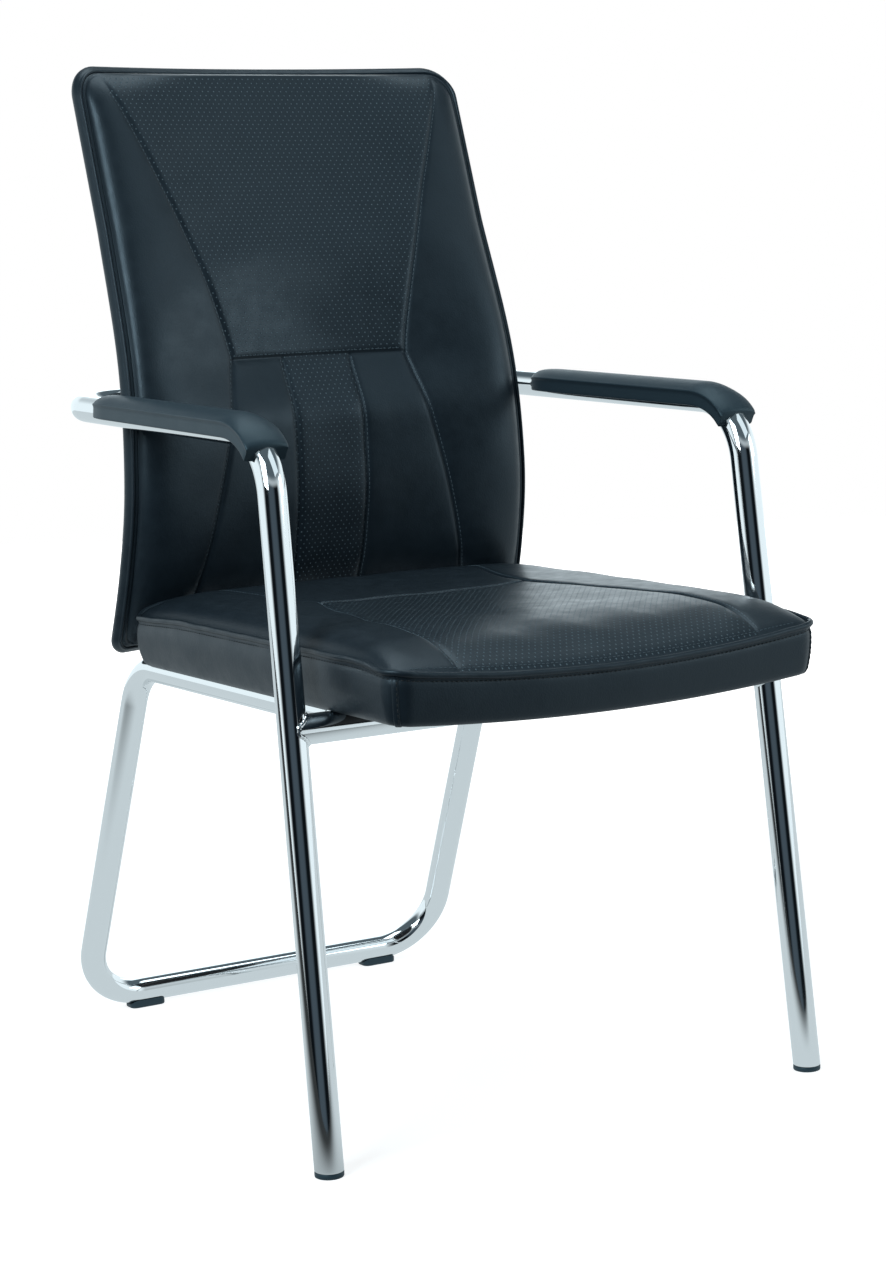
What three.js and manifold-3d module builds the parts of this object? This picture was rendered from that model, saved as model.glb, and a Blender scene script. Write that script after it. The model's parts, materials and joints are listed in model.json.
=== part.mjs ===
// Visitor chair on a bent steel tube frame, in millimetres, +Z up.
// The front of the chair faces -Y and the chair stands on z = 0.
// One tube makes both front legs, both arms and the run behind the back.
// A second tube makes the seat rails, the rear legs and the sled bar on the floor.

import * as THREE from 'three';
import { mergeVertices } from 'three/addons/utils/BufferGeometryUtils.js';
import Module from 'manifold-3d';

const wasm = await Module();
wasm.setup();

// Frame tube
const TUBE_DIAMETER = 25;
const TUBE_WALL = 1.5;
const BEND_RADIUS = 60;
const CROSS_BAR_DIAMETER = 26;

// Front legs and arms, on the centre line of the tube: outsets are from the sides of the seat
const FOOT_OUTSET = 35.5;
const FOOT_RIM_HEIGHT = 5;
const SHOULDER_OUTSET = 26.5;
const SHOULDER_SETBACK = 74;
const SHOULDER_HEIGHT = 612;
const ARM_RISE = 11;
const ARM_SIDE_GAP = 8.8;
const ARM_REAR_GAP = 18.7;
const COPE_END_SHARE = 0.35;

// Seat rails, rear legs and sled bar, on the centre line of the tube: each from the piece before it
const RAIL_INSET = 19.5;
const RAIL_HEIGHT = 375;
const RAIL_REACH = 33;
const SLED_OUTSET = 6;
const SLED_REACH = 153;
const GLIDE_HEIGHT = 4;

// Foot plugs and sled glides
const PLUG_STEM_LENGTH = 22;
const PLUG_CHAMFER = 1;
const GLIDE_LENGTH = 38;
const GLIDE_WIDTH = 20;
const GLIDE_WRAP = 5;
const GLIDE_CORNER = 6;
const GLIDE_FROM_CORNER = 66;

// Seat
const SEAT_WIDTH = 433;
const SEAT_DEPTH = 475;
const SEAT_OVERHANG = 70;
const SEAT_FRONT_CORNER = 18;
const SEAT_REAR_CORNER = 28;
const SEAT_FRONT_BOW = 8;
const SEAT_BORDER = 48.5;
const SEAT_HEM_DROP = 6;
const SEAT_EDGE_PUFF = 16;
const SEAT_EDGE_ROUND = 15;
const SEAT_CROWN = 6;
const SEAT_CORNER_DIP = 5;
const SEAT_FRONT_DIP = 14;
const SEAT_UNDER_DIP = 11;
const SEAT_DIP_DEPTH = 95;
const SEAT_SIDE_DRAW = 4;
const SEAT_SIDE_BULGE = 3;
const SEAT_EDGE_LIP = 2.5;
const SEAT_CHANNEL = 3;
const SEAT_CHANNEL_WIDTH = 6;
const SEAT_PANEL_FRONT = 294;
const SEAT_PANEL_WAIST = 210;
const SEAT_PANEL_REAR = 285;
const SEAT_CROSS_SEAM_FROM_REAR = 170;

// Seat board, its black cover and the welded tabs that carry them
const BOARD_THICKNESS = 12;
const BOARD_SIDE_MARGIN = 8.5;
const BOARD_FRONT_MARGIN = 22;
const BOARD_REAR_MARGIN = 13;
const BOARD_CORNER = 22;
const COVER_THICKNESS = 1;
const COVER_INSET = 4;
const TAB_THICKNESS = 3;
const TAB_LENGTH = 44;
const TAB_REACH = 34;
const TAB_CORNER = 5;
const TAB_FROM_SEAT_FRONT = 180;
const TAB_FROM_SEAT_REAR = 75;

// Bolts
const BOLT_DIAMETER = 6;
const BOLT_HEAD_DIAMETER = 12;
const BOLT_HEAD_HEIGHT = 3.5;
const BOLT_CROWN = 1;
const BOLT_GRIP_SHARE = 0.7;

// Back: the rim runs at these places behind the rear of the seat, up to the waist seam and above it
const BACK_LOWER_SETBACKS = [31, 6.5, -6];
const BACK_LOWER_SHARES = [0, 0.2825, 0.5874];
const BACK_UPPER_SETBACKS = [4.7, 50, 97];
const BACK_UPPER_SHARES = [0, 0.4908, 1];
const BACK_RISE = 4.5;
const BACK_HEIGHT = 545;
const BACK_WIDTH = 415;
const BACK_FLARE_HEIGHT = 395;
const BACK_FLARE = 30;
const BACK_TOP_CORNER = 27;
const BACK_BOTTOM_CORNER = 12;
const BACK_SAG = 40;
const RIM_FRONT = 5;
const RIM_THICKNESS = 17;
const RIM_ROUND = 4;
const REAR_CROWN = 4;
const PAD_INSET = 8;
const PAD_EDGE_LIFT = 9;
const PAD_EDGE_PUFF = 20;
const PAD_EDGE_ROUND = 14;
const PAD_SIDE_BULGE = 2;
const PAD_HOLLOW = 29;
const PAD_WAIST_DIP = 16;
const PAD_FOOT_THIN = 10;
const PAD_FOOT_HEIGHT = 80;
const WAIST_RISE = 269;
const WAIST_SPREAD = 190;
const WAIST_UPPER_FADE = 110;
const WAIST_LOWER_FADE = 36;
const TRAPEZE_TOP_SPREAD = 372;
const SIDE_SEAM_FOOT_SPREAD = 320;
const STRIP_SPREAD = 75;
const BACK_CHANNEL = 3;
const BACK_CHANNEL_WIDTH = 6;
const BACK_BOARD_THICKNESS = 10;
const BACK_BOARD_INSET = 20;

// Brackets between the frame and the back
const STRAP_THICKNESS = 4;
const STRAP_WIDTH = 30;
const STRAP_BEND = 4;
const UPPER_STRAP_FROM_CENTRE = 55;
const UPPER_STRAP_DROP = 44;
const LOWER_STRAP_FROM_CENTRE = 55;
const LOWER_STRAP_OVERLAP = 105;
const LOWER_STRAP_CLIMB = 63;
const STRAP_BOLT_FROM_END = 14;

// Arm pads, across the tube
const PAD_HALF_WIDTH = 20;
const PAD_CREASE = 10.5;
const PAD_TOP = 15.5;
const PAD_CROWN_SHARE = 0.8;
const PAD_SKIRT = 5;
const PAD_LIP_SKIRT = 0.5;
const PAD_LIP_WIDTH_SHARE = 0.95;
const PAD_HEM = 2;
const PAD_REAR_GAP = 38;
const PAD_REAR_TAPER = 34;
const PAD_WRAP_ANGLE = THREE.MathUtils.degToRad(50);

// Clearance left between pieces that touch
const CLEARANCE = 0.3;

// Counts of facets and of steps
const TUBE_SIDES = 20;
const BORE_SIDES = 10;
const BEND_STEPS = 6;
const BOLT_SIDES = 8;
const STEM_SIDES = 12;
const ARC_STEPS = 4;

// Where the grid lines of a padded form stand: shares of the way from an edge to the end of its corner
const SEAT_CORNER_SHARES = [0, 0.25, 0.6, 1];
const BACK_CORNER_SHARES = [0, 0.2, 0.55, 1];

const FINISHES = {
  chrome: { color: 0xdde1e4, roughness: 0.12, metalness: 1 },
  leather: { color: 0x2b3034, roughness: 0.5, metalness: 0 },
  plastic: { color: 0x33383c, roughness: 0.6, metalness: 0 },
  plywood: { color: 0xb48f63, roughness: 0.75, metalness: 0 },
  cover: { color: 0x17181a, roughness: 0.95, metalness: 0 },
  painted: { color: 0x1b1c1e, roughness: 0.45, metalness: 0.2 },
  zinc: { color: 0xaeb2b6, roughness: 0.35, metalness: 1 },
};

const chair = new THREE.Group();

const vector = (x, y, z) => new THREE.Vector3(x, y, z);
const direction = (from, to) => to.clone().sub(from).normalize();
const mix = THREE.MathUtils.lerp;
const smooth = THREE.MathUtils.smoothstep;

// Adds one piece to the chair.
function addPiece(name, geometry, finish) {
  const mesh = new THREE.Mesh(geometry, new THREE.MeshStandardMaterial(FINISHES[finish]));
  mesh.name = name;
  chair.add(mesh);
  return mesh;
}

// Turns a closed geometry into a solid for cutting and joining.
function toSolid(geometry) {
  const bare = geometry.clone();
  bare.deleteAttribute('normal');
  bare.deleteAttribute('uv');
  const merged = mergeVertices(bare);
  const vertProperties = new Float32Array(merged.attributes.position.array);
  const triVerts = new Uint32Array(merged.index.array);
  return new wasm.Manifold(new wasm.Mesh({ numProp: 3, vertProperties, triVerts }));
}

// Turns a solid back into a geometry.
function toGeometry(solid) {
  const mesh = solid.getMesh();
  const geometry = new THREE.BufferGeometry();
  geometry.setAttribute('position', new THREE.BufferAttribute(new Float32Array(mesh.vertProperties), 3));
  geometry.setIndex(new THREE.BufferAttribute(new Uint32Array(mesh.triVerts), 1));
  geometry.computeVertexNormals();
  return geometry;
}

// Cuts every tool out of a geometry.
function cut(geometry, tools) {
  const start = toSolid(geometry);
  return toGeometry(tools.reduce((solid, tool) => solid.subtract(toSolid(tool)), start));
}

// Joins two geometries into one body.
function join(first, second) {
  return toGeometry(toSolid(first).add(toSolid(second)));
}

// Straight lengths joined by arcs of one radius, stepped only where the path turns.
class BentPath extends THREE.Curve {
  constructor(corners, radius, stepsPerBend) {
    super();
    const last = corners.length - 1;
    this.stations = [{ point: corners[0], tangent: direction(corners[0], corners[1]) }];
    for (let i = 1; i < last; i += 1) {
      this.addBend(corners[i - 1], corners[i], corners[i + 1], radius, stepsPerBend);
    }
    this.stations.push({ point: corners[last], tangent: direction(corners[last - 1], corners[last]) });
  }

  addBend(before, corner, after, radius, steps) {
    const incoming = direction(before, corner);
    const outgoing = direction(corner, after);
    const turn = incoming.angleTo(outgoing);
    const inward = outgoing.clone().addScaledVector(incoming, -incoming.dot(outgoing)).normalize();
    const start = corner.clone().addScaledVector(incoming, -radius * Math.tan(turn / 2));
    const centre = start.clone().addScaledVector(inward, radius);
    for (let k = 0; k <= steps; k += 1) {
      const angle = turn * k / steps;
      const point = centre.clone()
        .addScaledVector(inward, -radius * Math.cos(angle))
        .addScaledVector(incoming, radius * Math.sin(angle));
      const tangent = incoming.clone().multiplyScalar(Math.cos(angle))
        .addScaledVector(inward, Math.sin(angle));
      this.stations.push({ point, tangent });
    }
  }

  get steps() {
    return this.stations.length - 1;
  }

  getPointAt(share, target = new THREE.Vector3()) {
    return target.copy(this.stations[Math.round(share * this.steps)].point);
  }

  getTangentAt(share, target = new THREE.Vector3()) {
    return target.copy(this.stations[Math.round(share * this.steps)].tangent);
  }
}

// Points of a circle, first one on the +X side.
function circlePoints(radius, sides) {
  return Array.from({ length: sides }, (_, i) => {
    const angle = 2 * Math.PI * i / sides;
    return new THREE.Vector2(radius * Math.cos(angle), radius * Math.sin(angle));
  });
}

// A bent tube of the given outer diameter and wall, open at both ends.
function bentTube(path, diameter, wall) {
  const section = new THREE.Shape(circlePoints(diameter / 2, TUBE_SIDES));
  section.holes.push(new THREE.Path(circlePoints(diameter / 2 - wall, BORE_SIDES)));
  return new THREE.ExtrudeGeometry(section, { steps: path.steps, extrudePath: path });
}

// A solid along a bent path that clears a faceted tube of the given diameter all round.
function clearanceTube(path, diameter) {
  const radius = (diameter / 2 + CLEARANCE) / Math.cos(Math.PI / TUBE_SIDES);
  const section = new THREE.Shape(circlePoints(radius, TUBE_SIDES));
  return new THREE.ExtrudeGeometry(section, { steps: path.steps, extrudePath: path });
}

// A solid round rod between two points, used to cut and to plug.
function rodBetween(from, to, radius, sides) {
  const rod = new THREE.CylinderGeometry(radius, radius, from.distanceTo(to), sides);
  const turn = new THREE.Quaternion().setFromUnitVectors(vector(0, 1, 0), direction(from, to));
  rod.applyQuaternion(turn);
  const middle = from.clone().add(to).divideScalar(2);
  return rod.translate(middle.x, middle.y, middle.z);
}

// A rod that clears a faceted tube of the given radius all round.
function clearanceRod(from, to, radius) {
  return rodBetween(from, to, (radius + CLEARANCE) / Math.cos(Math.PI / TUBE_SIDES), TUBE_SIDES);
}

// A box given by its lowest and highest corner.
function boxBetween(low, high) {
  const size = high.clone().sub(low);
  const middle = low.clone().add(high).divideScalar(2);
  return new THREE.BoxGeometry(size.x, size.y, size.z).translate(middle.x, middle.y, middle.z);
}

// A rectangle with round corners as a shape.
function roundedRectangle(width, depth, radius) {
  const x = width / 2 - radius;
  const y = depth / 2 - radius;
  const shape = new THREE.Shape();
  shape.absarc(x, y, radius, 0, Math.PI / 2);
  shape.absarc(-x, y, radius, Math.PI / 2, Math.PI);
  shape.absarc(-x, -y, radius, Math.PI, 1.5 * Math.PI);
  shape.absarc(x, -y, radius, 1.5 * Math.PI, 2 * Math.PI);
  shape.closePath();
  return shape;
}

// A flat plate with round corners, its underside on z = 0.
function plate(width, depth, thickness, radius) {
  const outline = roundedRectangle(width, depth, radius);
  const settings = { depth: thickness, bevelEnabled: false, curveSegments: ARC_STEPS };
  return new THREE.ExtrudeGeometry(outline, settings);
}

// A box whose vertices, given as shares from -1 to 1, are moved to a form.
function formedBox(columns, rows, layers, place) {
  const box = new THREE.BoxGeometry(2, 2, 2, columns, rows, layers);
  box.deleteAttribute('normal');
  box.deleteAttribute('uv');
  const form = mergeVertices(box);
  const position = form.attributes.position;
  for (let i = 0; i < position.count; i += 1) {
    const point = place(position.getX(i), position.getY(i), position.getZ(i));
    position.setXYZ(i, point.x, point.y, point.z);
  }
  form.computeVertexNormals();
  return form;
}

// Rounds the corner of a rectangle: a point in the corner square moves onto the quarter disc.
function roundCorner(x, y, halfWidth, halfDepth, radius) {
  const a = (Math.abs(x) - halfWidth) / radius + 1;
  const b = (Math.abs(y) - halfDepth) / radius + 1;
  if (a <= 0 || b <= 0) {
    return [x, y];
  }
  const roundX = halfWidth - radius + radius * a * Math.sqrt(1 - b * b / 2);
  const roundY = halfDepth - radius + radius * b * Math.sqrt(1 - a * a / 2);
  return [Math.sign(x) * roundX, Math.sign(y) * roundY];
}

// Reads a list of grid lines at a share from -1 to 1 of its length.
function gridLine(lines, share) {
  return lines[Math.round((share + 1) / 2 * (lines.length - 1))];
}

// Mirrors a list of grid lines, outermost first, about its last one.
function mirrored(lines) {
  return [...lines.map((line) => -line), ...lines.slice(0, -1).reverse()];
}

// How far a padded surface has risen at a distance in from its edge, as a share.
const rise = (distance, round) => 1 - Math.exp(-Math.max(distance, 0) / round);

// How deep a sewn channel is at a distance from its seam, as a share.
const channel = (distance, width) => Math.exp(-((distance / width) ** 2));

// Places that follow from one another, from the tube up

const tubeRadius = TUBE_DIAMETER / 2;
const barRadius = CROSS_BAR_DIAMETER / 2;
const sledHeight = GLIDE_HEIGHT + tubeRadius;
const railTop = RAIL_HEIGHT + tubeRadius;
const coverBase = railTop + CLEARANCE;
const boardBase = coverBase + COVER_THICKNESS + CLEARANCE;

const seatHalfWidth = SEAT_WIDTH / 2;
const seatHalfDepth = SEAT_DEPTH / 2;
const seatFront = -SEAT_OVERHANG;
const seatRear = seatFront + SEAT_DEPTH;
const seatMiddle = (seatRear + seatFront) / 2;
const seatUnderside = railTop - SEAT_HEM_DROP;
const crossSeam = seatRear - SEAT_CROSS_SEAM_FROM_REAR;
const boardWidth = SEAT_WIDTH - 2 * BOARD_SIDE_MARGIN;
const boardFront = seatFront + BOARD_FRONT_MARGIN;
const boardRear = seatRear - BOARD_REAR_MARGIN;

const railX = seatHalfWidth - RAIL_INSET;
const railRear = seatRear + RAIL_REACH;
const sledX = railX + SLED_OUTSET;
const sledSetback = railRear + SLED_REACH;

const backBottom = railTop + BACK_RISE;
const backTop = backBottom + BACK_HEIGHT;
const backMiddle = (backTop + backBottom) / 2;
const waistHeight = backBottom + WAIST_RISE;
const armRearHeight = SHOULDER_HEIGHT + ARM_RISE;

const footPoint = (side) => vector(side * (seatHalfWidth + FOOT_OUTSET), 0, FOOT_RIM_HEIGHT);

const shoulderPoint = (side) => vector(
  side * (seatHalfWidth + SHOULDER_OUTSET),
  SHOULDER_SETBACK,
  SHOULDER_HEIGHT,
);

// The corner where an arm turns in behind the back: it clears the back's side and its rear.
function armRearPoint(side) {
  const x = backHalfWidth(armRearHeight) + RIM_ROUND + ARM_SIDE_GAP + tubeRadius;
  return vector(side * x, backRear(0, armRearHeight) + ARM_REAR_GAP + tubeRadius, armRearHeight);
}

// The point of a leg's centre line at a height.
function legPoint(side, height) {
  const foot = footPoint(side);
  const shoulder = shoulderPoint(side);
  return foot.lerp(shoulder, (height - FOOT_RIM_HEIGHT) / (SHOULDER_HEIGHT - FOOT_RIM_HEIGHT));
}

const barHeight = seatUnderside - barRadius - CLEARANCE;
const barSetback = legPoint(1, barHeight).y;

// Frame

// The tube of both front legs and both arms, cut level at the feet.
function makeArmLegTube() {
  const below = [-1, 1].map((side) => legPoint(side, -TUBE_DIAMETER));
  const corners = [
    below[0],
    shoulderPoint(-1),
    armRearPoint(-1),
    armRearPoint(1),
    shoulderPoint(1),
    below[1],
  ];
  const tube = bentTube(new BentPath(corners, BEND_RADIUS, BEND_STEPS), TUBE_DIAMETER, TUBE_WALL);
  const reach = seatHalfWidth + 2 * FOOT_OUTSET;
  const ground = boxBetween(
    vector(-reach, -TUBE_DIAMETER, -3 * TUBE_DIAMETER),
    vector(reach, TUBE_DIAMETER, FOOT_RIM_HEIGHT),
  );
  return cut(tube, [ground]);
}

// The tube of the seat rails, the rear legs and the sled bar, coped to the cross bar.
function makeRearLoopTube() {
  const corners = [
    vector(-railX, barSetback, RAIL_HEIGHT),
    vector(-railX, railRear, RAIL_HEIGHT),
    vector(-sledX, sledSetback, sledHeight),
    vector(sledX, sledSetback, sledHeight),
    vector(railX, railRear, RAIL_HEIGHT),
    vector(railX, barSetback, RAIL_HEIGHT),
  ];
  const tube = bentTube(new BentPath(corners, BEND_RADIUS, BEND_STEPS), TUBE_DIAMETER, TUBE_WALL);
  const bar = clearanceRod(
    vector(-SEAT_WIDTH, barSetback, barHeight),
    vector(SEAT_WIDTH, barSetback, barHeight),
    barRadius,
  );
  const front = boxBetween(
    vector(-SEAT_WIDTH, barSetback - TUBE_DIAMETER, RAIL_HEIGHT - TUBE_DIAMETER),
    vector(SEAT_WIDTH, barSetback, RAIL_HEIGHT + TUBE_DIAMETER),
  );
  return cut(tube, [bar, front]);
}

// The straight bar between the front legs, coped to both.
function makeCrossBar() {
  const ends = [-1, 1].map((side) => legPoint(side, barHeight));
  const path = new BentPath(ends, BEND_RADIUS, BEND_STEPS);
  const bar = bentTube(path, CROSS_BAR_DIAMETER, TUBE_WALL);
  const legs = [-1, 1].map((side) => clearanceRod(
    legPoint(side, barHeight - CROSS_BAR_DIAMETER),
    legPoint(side, barHeight + CROSS_BAR_DIAMETER),
    tubeRadius,
  ));
  const outside = ends.map((end) => {
    const way = Math.sign(end.x);
    const inner = end.x - way * COPE_END_SHARE * tubeRadius;
    const near = vector(inner, end.y - CROSS_BAR_DIAMETER, end.z - CROSS_BAR_DIAMETER);
    const far = vector(
      end.x + way * TUBE_DIAMETER,
      end.y + CROSS_BAR_DIAMETER,
      end.z + CROSS_BAR_DIAMETER,
    );
    return boxBetween(near.clone().min(far), near.clone().max(far));
  });
  return cut(bar, [...legs, ...outside]);
}

// The black plug in the foot of a front leg: a flange under the rim and a stem up the bore.
function makeFootPlug(side) {
  const foot = footPoint(side);
  const flangeTop = FOOT_RIM_HEIGHT - CLEARANCE;
  const profile = [
    new THREE.Vector2(0, 0),
    new THREE.Vector2(tubeRadius - PLUG_CHAMFER, 0),
    new THREE.Vector2(tubeRadius, PLUG_CHAMFER),
    new THREE.Vector2(tubeRadius, flangeTop),
    new THREE.Vector2(0, flangeTop),
  ];
  const flange = new THREE.LatheGeometry(profile, TUBE_SIDES);
  flange.rotateX(Math.PI / 2).translate(foot.x, foot.y, 0);
  const boreRadius = (tubeRadius - TUBE_WALL) * Math.cos(Math.PI / BORE_SIDES);
  const stem = rodBetween(
    legPoint(side, flangeTop / 2),
    legPoint(side, FOOT_RIM_HEIGHT + PLUG_STEM_LENGTH),
    boreRadius - CLEARANCE,
    STEM_SIDES,
  );
  const beneath = boxBetween(
    vector(foot.x - TUBE_DIAMETER, foot.y - TUBE_DIAMETER, -TUBE_DIAMETER),
    vector(foot.x + TUBE_DIAMETER, foot.y + TUBE_DIAMETER, 0),
  );
  return cut(join(flange, stem), [beneath]);
}

// The black glide under the sled bar, hollowed to the tube.
function makeSledGlide(side) {
  const block = plate(GLIDE_LENGTH, GLIDE_WIDTH, GLIDE_HEIGHT + GLIDE_WRAP, GLIDE_CORNER);
  block.translate(side * (sledX - GLIDE_FROM_CORNER), sledSetback, 0);
  const bar = clearanceRod(
    vector(-2 * sledX, sledSetback, sledHeight),
    vector(2 * sledX, sledSetback, sledHeight),
    tubeRadius,
  );
  return cut(block, [bar]);
}

// Seat

// Half the spread of the two long seams of the seat at a setback.
function seatSeam(setback) {
  if (setback > crossSeam) {
    const share = (setback - crossSeam) / (seatRear - crossSeam);
    return mix(SEAT_PANEL_WAIST, SEAT_PANEL_REAR, share) / 2;
  }
  const share = (setback - seatFront) / (crossSeam - seatFront);
  return mix(SEAT_PANEL_FRONT, SEAT_PANEL_WAIST, share ** 2) / 2;
}

// How strongly the front of the seat dips at a setback, as a share.
const seatDip = (setback) => 1 - smooth(setback, seatFront, seatFront + SEAT_DIP_DEPTH);

// Height of the edge seam round the top of the seat.
function seatEdge(x, setback) {
  const across = 1 - (x / seatHalfWidth) ** 2;
  return seatUnderside + SEAT_BORDER - seatDip(setback) * (SEAT_CORNER_DIP + SEAT_FRONT_DIP * across);
}

// Height of the lower edge of the seat: it dips at the front and clears the rails at the rear.
function seatUnder(x, setback) {
  const across = 1 - (x / seatHalfWidth) ** 2;
  const lift = smooth(setback, seatRear - 1.5 * SEAT_REAR_CORNER, seatRear - SEAT_REAR_CORNER);
  const clear = coverBase + CLEARANCE - seatUnderside;
  return seatUnderside + clear * lift - seatDip(setback) * SEAT_UNDER_DIP * across;
}

// Height of the padded top of the seat.
function seatTop(x, setback) {
  const fromSide = seatHalfWidth - Math.abs(x);
  const fromEnd = seatHalfDepth - Math.abs(setback - seatMiddle);
  const puff = rise(fromSide, SEAT_EDGE_ROUND) * rise(fromEnd, SEAT_EDGE_ROUND);
  const crown = (1 - (x / seatHalfWidth) ** 2) * (1 - ((setback - seatMiddle) / seatHalfDepth) ** 2);
  const longSeam = channel(Math.abs(x) - seatSeam(setback), SEAT_CHANNEL_WIDTH);
  const inPanel = Math.abs(x) < seatSeam(setback);
  const acrossSeam = inPanel ? channel(setback - crossSeam, SEAT_CHANNEL_WIDTH) : 0;
  const sewn = SEAT_CHANNEL * puff * Math.max(longSeam, acrossSeam);
  return seatEdge(x, setback) + SEAT_EDGE_PUFF * puff + SEAT_CROWN * crown - sewn;
}

// The seat cushion with its boxed border, hollowed below for the board.
function makeSeatCushion() {
  const seamStep = SEAT_CHANNEL_WIDTH;
  const rowLines = [
    ...SEAT_CORNER_SHARES.map((share) => seatFront + share * SEAT_FRONT_CORNER),
    seatFront + SEAT_DIP_DEPTH / 2,
    seatFront + SEAT_DIP_DEPTH,
    mix(seatFront + SEAT_DIP_DEPTH, crossSeam, 1 / 3),
    mix(seatFront + SEAT_DIP_DEPTH, crossSeam, 2 / 3),
    crossSeam - 2 * seamStep,
    crossSeam,
    crossSeam + 2 * seamStep,
    mix(crossSeam, seatRear, 1 / 2),
    ...SEAT_CORNER_SHARES.map((share) => seatRear - share * SEAT_REAR_CORNER).reverse(),
  ];
  const sideLines = SEAT_CORNER_SHARES.map((share) => seatHalfWidth - share * SEAT_REAR_CORNER);
  const columns = 2 * (sideLines.length + 5);
  const layerShares = [0, 0.3, 0.62, 0.88, 1];
  const place = (u, v, w) => {
    const setback = gridLine(rowLines, v);
    const seam = seatSeam(setback);
    const half = [...sideLines, seam + 2 * seamStep, seam, seam - 2 * seamStep, seam / 2, seam / 4, 0];
    const x = gridLine(mirrored(half), u);
    const radius = setback < seatMiddle ? SEAT_FRONT_CORNER : SEAT_REAR_CORNER;
    const [roundX, roundY] = roundCorner(x, setback - seatMiddle, seatHalfWidth, seatHalfDepth, radius);
    const bow = SEAT_FRONT_BOW * seatDip(setback) * (1 - (x / seatHalfWidth) ** 2);
    const level = gridLine(layerShares, w);
    const drawn = SEAT_SIDE_DRAW * (1 - level);
    const bulge = SEAT_SIDE_BULGE * Math.sin(Math.PI * level) + (level === 1 ? SEAT_EDGE_LIP : 0);
    const outward = (bulge - drawn) / seatHalfWidth;
    const inwardShare = Math.max(Math.abs(x) / seatHalfWidth, Math.abs(setback - seatMiddle) / seatHalfDepth);
    const swell = 1 + outward * inwardShare ** 8;
    const top = seatTop(x, setback);
    const under = seatUnder(x, setback);
    const onSide = Math.abs(u) === 1 || Math.abs(v) === 1;
    const height = w === 1 ? top : mix(under, onSide ? seatEdge(x, setback) : top, level);
    return vector(roundX * swell, seatMiddle + roundY * swell - bow, height);
  };
  const cushion = formedBox(columns, rowLines.length - 1, layerShares.length - 1, place);
  const depth = boardRear - boardFront + 2 * CLEARANCE;
  const hollow = plate(boardWidth + 2 * CLEARANCE, depth, 3 * BOARD_THICKNESS, BOARD_CORNER);
  const hollowTop = boardBase + BOARD_THICKNESS + CLEARANCE;
  hollow.translate(0, (boardRear + boardFront) / 2, hollowTop - 3 * BOARD_THICKNESS);
  return cut(cushion, [hollow]);
}

// The four places where a tab and its bolt hold the seat.
function tabPlaces() {
  const places = [];
  const setbacks = [['front', seatFront + TAB_FROM_SEAT_FRONT], ['rear', seatRear - TAB_FROM_SEAT_REAR]];
  for (const [end, setback] of setbacks) {
    for (const [sideName, side] of [['left', -1], ['right', 1]]) {
      const x = side * (railX - tubeRadius - TAB_REACH / 2);
      places.push({ name: `${end}_${sideName}`, side, x, setback });
    }
  }
  return places;
}

const boltHoleRadius = (BOLT_DIAMETER / 2 + CLEARANCE) / Math.cos(Math.PI / BOLT_SIDES);

const boltHole = (x, setback, low, high) => rodBetween(
  vector(x, setback, low),
  vector(x, setback, high),
  boltHoleRadius,
  BOLT_SIDES,
);

// The tab that is welded to the inner side of a rail.
function makeTab({ side, x, setback }) {
  const tabTop = coverBase - CLEARANCE;
  const inner = x - side * TAB_REACH / 2;
  const outer = side * railX;
  const width = Math.abs(outer - inner);
  const tab = plate(width, TAB_LENGTH, TAB_THICKNESS, TAB_CORNER);
  tab.translate((inner + outer) / 2, setback, tabTop - TAB_THICKNESS);
  const rail = clearanceRod(
    vector(outer, setback - TAB_LENGTH, RAIL_HEIGHT),
    vector(outer, setback + TAB_LENGTH, RAIL_HEIGHT),
    tubeRadius,
  );
  return cut(tab, [rail, boltHole(x, setback, tabTop - 2 * TAB_THICKNESS, tabTop + TAB_THICKNESS)]);
}

// Where the two lower straps run below the board.
const lowerStrapBolt = (side) => ({
  x: side * LOWER_STRAP_FROM_CENTRE,
  setback: seatRear - LOWER_STRAP_OVERLAP + STRAP_BOLT_FROM_END,
});

// Holes up into the board for every bolt that holds it.
function boardHoles(low, high) {
  const places = [...tabPlaces(), lowerStrapBolt(-1), lowerStrapBolt(1)];
  return places.map(({ x, setback }) => boltHole(x, setback, low, high));
}

// The plywood board inside the seat.
function makeSeatBoard() {
  const board = plate(boardWidth, boardRear - boardFront, BOARD_THICKNESS, BOARD_CORNER);
  board.translate(0, (boardRear + boardFront) / 2, boardBase);
  const depth = BOARD_THICKNESS * BOLT_GRIP_SHARE + CLEARANCE;
  return cut(board, boardHoles(boardBase - BOARD_THICKNESS, boardBase + depth));
}

// The thin black cover below the board.
function makeSeatCover() {
  const width = boardWidth - 2 * COVER_INSET;
  const depth = boardRear - boardFront - 2 * COVER_INSET;
  const cover = plate(width, depth, COVER_THICKNESS, BOARD_CORNER - COVER_INSET);
  cover.translate(0, (boardRear + boardFront) / 2, coverBase);
  return cut(cover, boardHoles(coverBase - BOARD_THICKNESS, coverBase + BOARD_THICKNESS));
}

// A round-headed bolt along +Z with the underside of its head on z = 0.
function boltGeometry(shankLength) {
  const headRadius = BOLT_HEAD_DIAMETER / 2;
  const profile = [
    new THREE.Vector2(0, -BOLT_HEAD_HEIGHT),
    new THREE.Vector2(headRadius - BOLT_CROWN, -BOLT_HEAD_HEIGHT),
    new THREE.Vector2(headRadius, BOLT_CROWN - BOLT_HEAD_HEIGHT),
    new THREE.Vector2(headRadius, 0),
    new THREE.Vector2(BOLT_DIAMETER / 2, 0),
    new THREE.Vector2(BOLT_DIAMETER / 2, shankLength),
    new THREE.Vector2(0, shankLength),
  ];
  return new THREE.LatheGeometry(profile, BOLT_SIDES).rotateX(Math.PI / 2);
}

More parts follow.
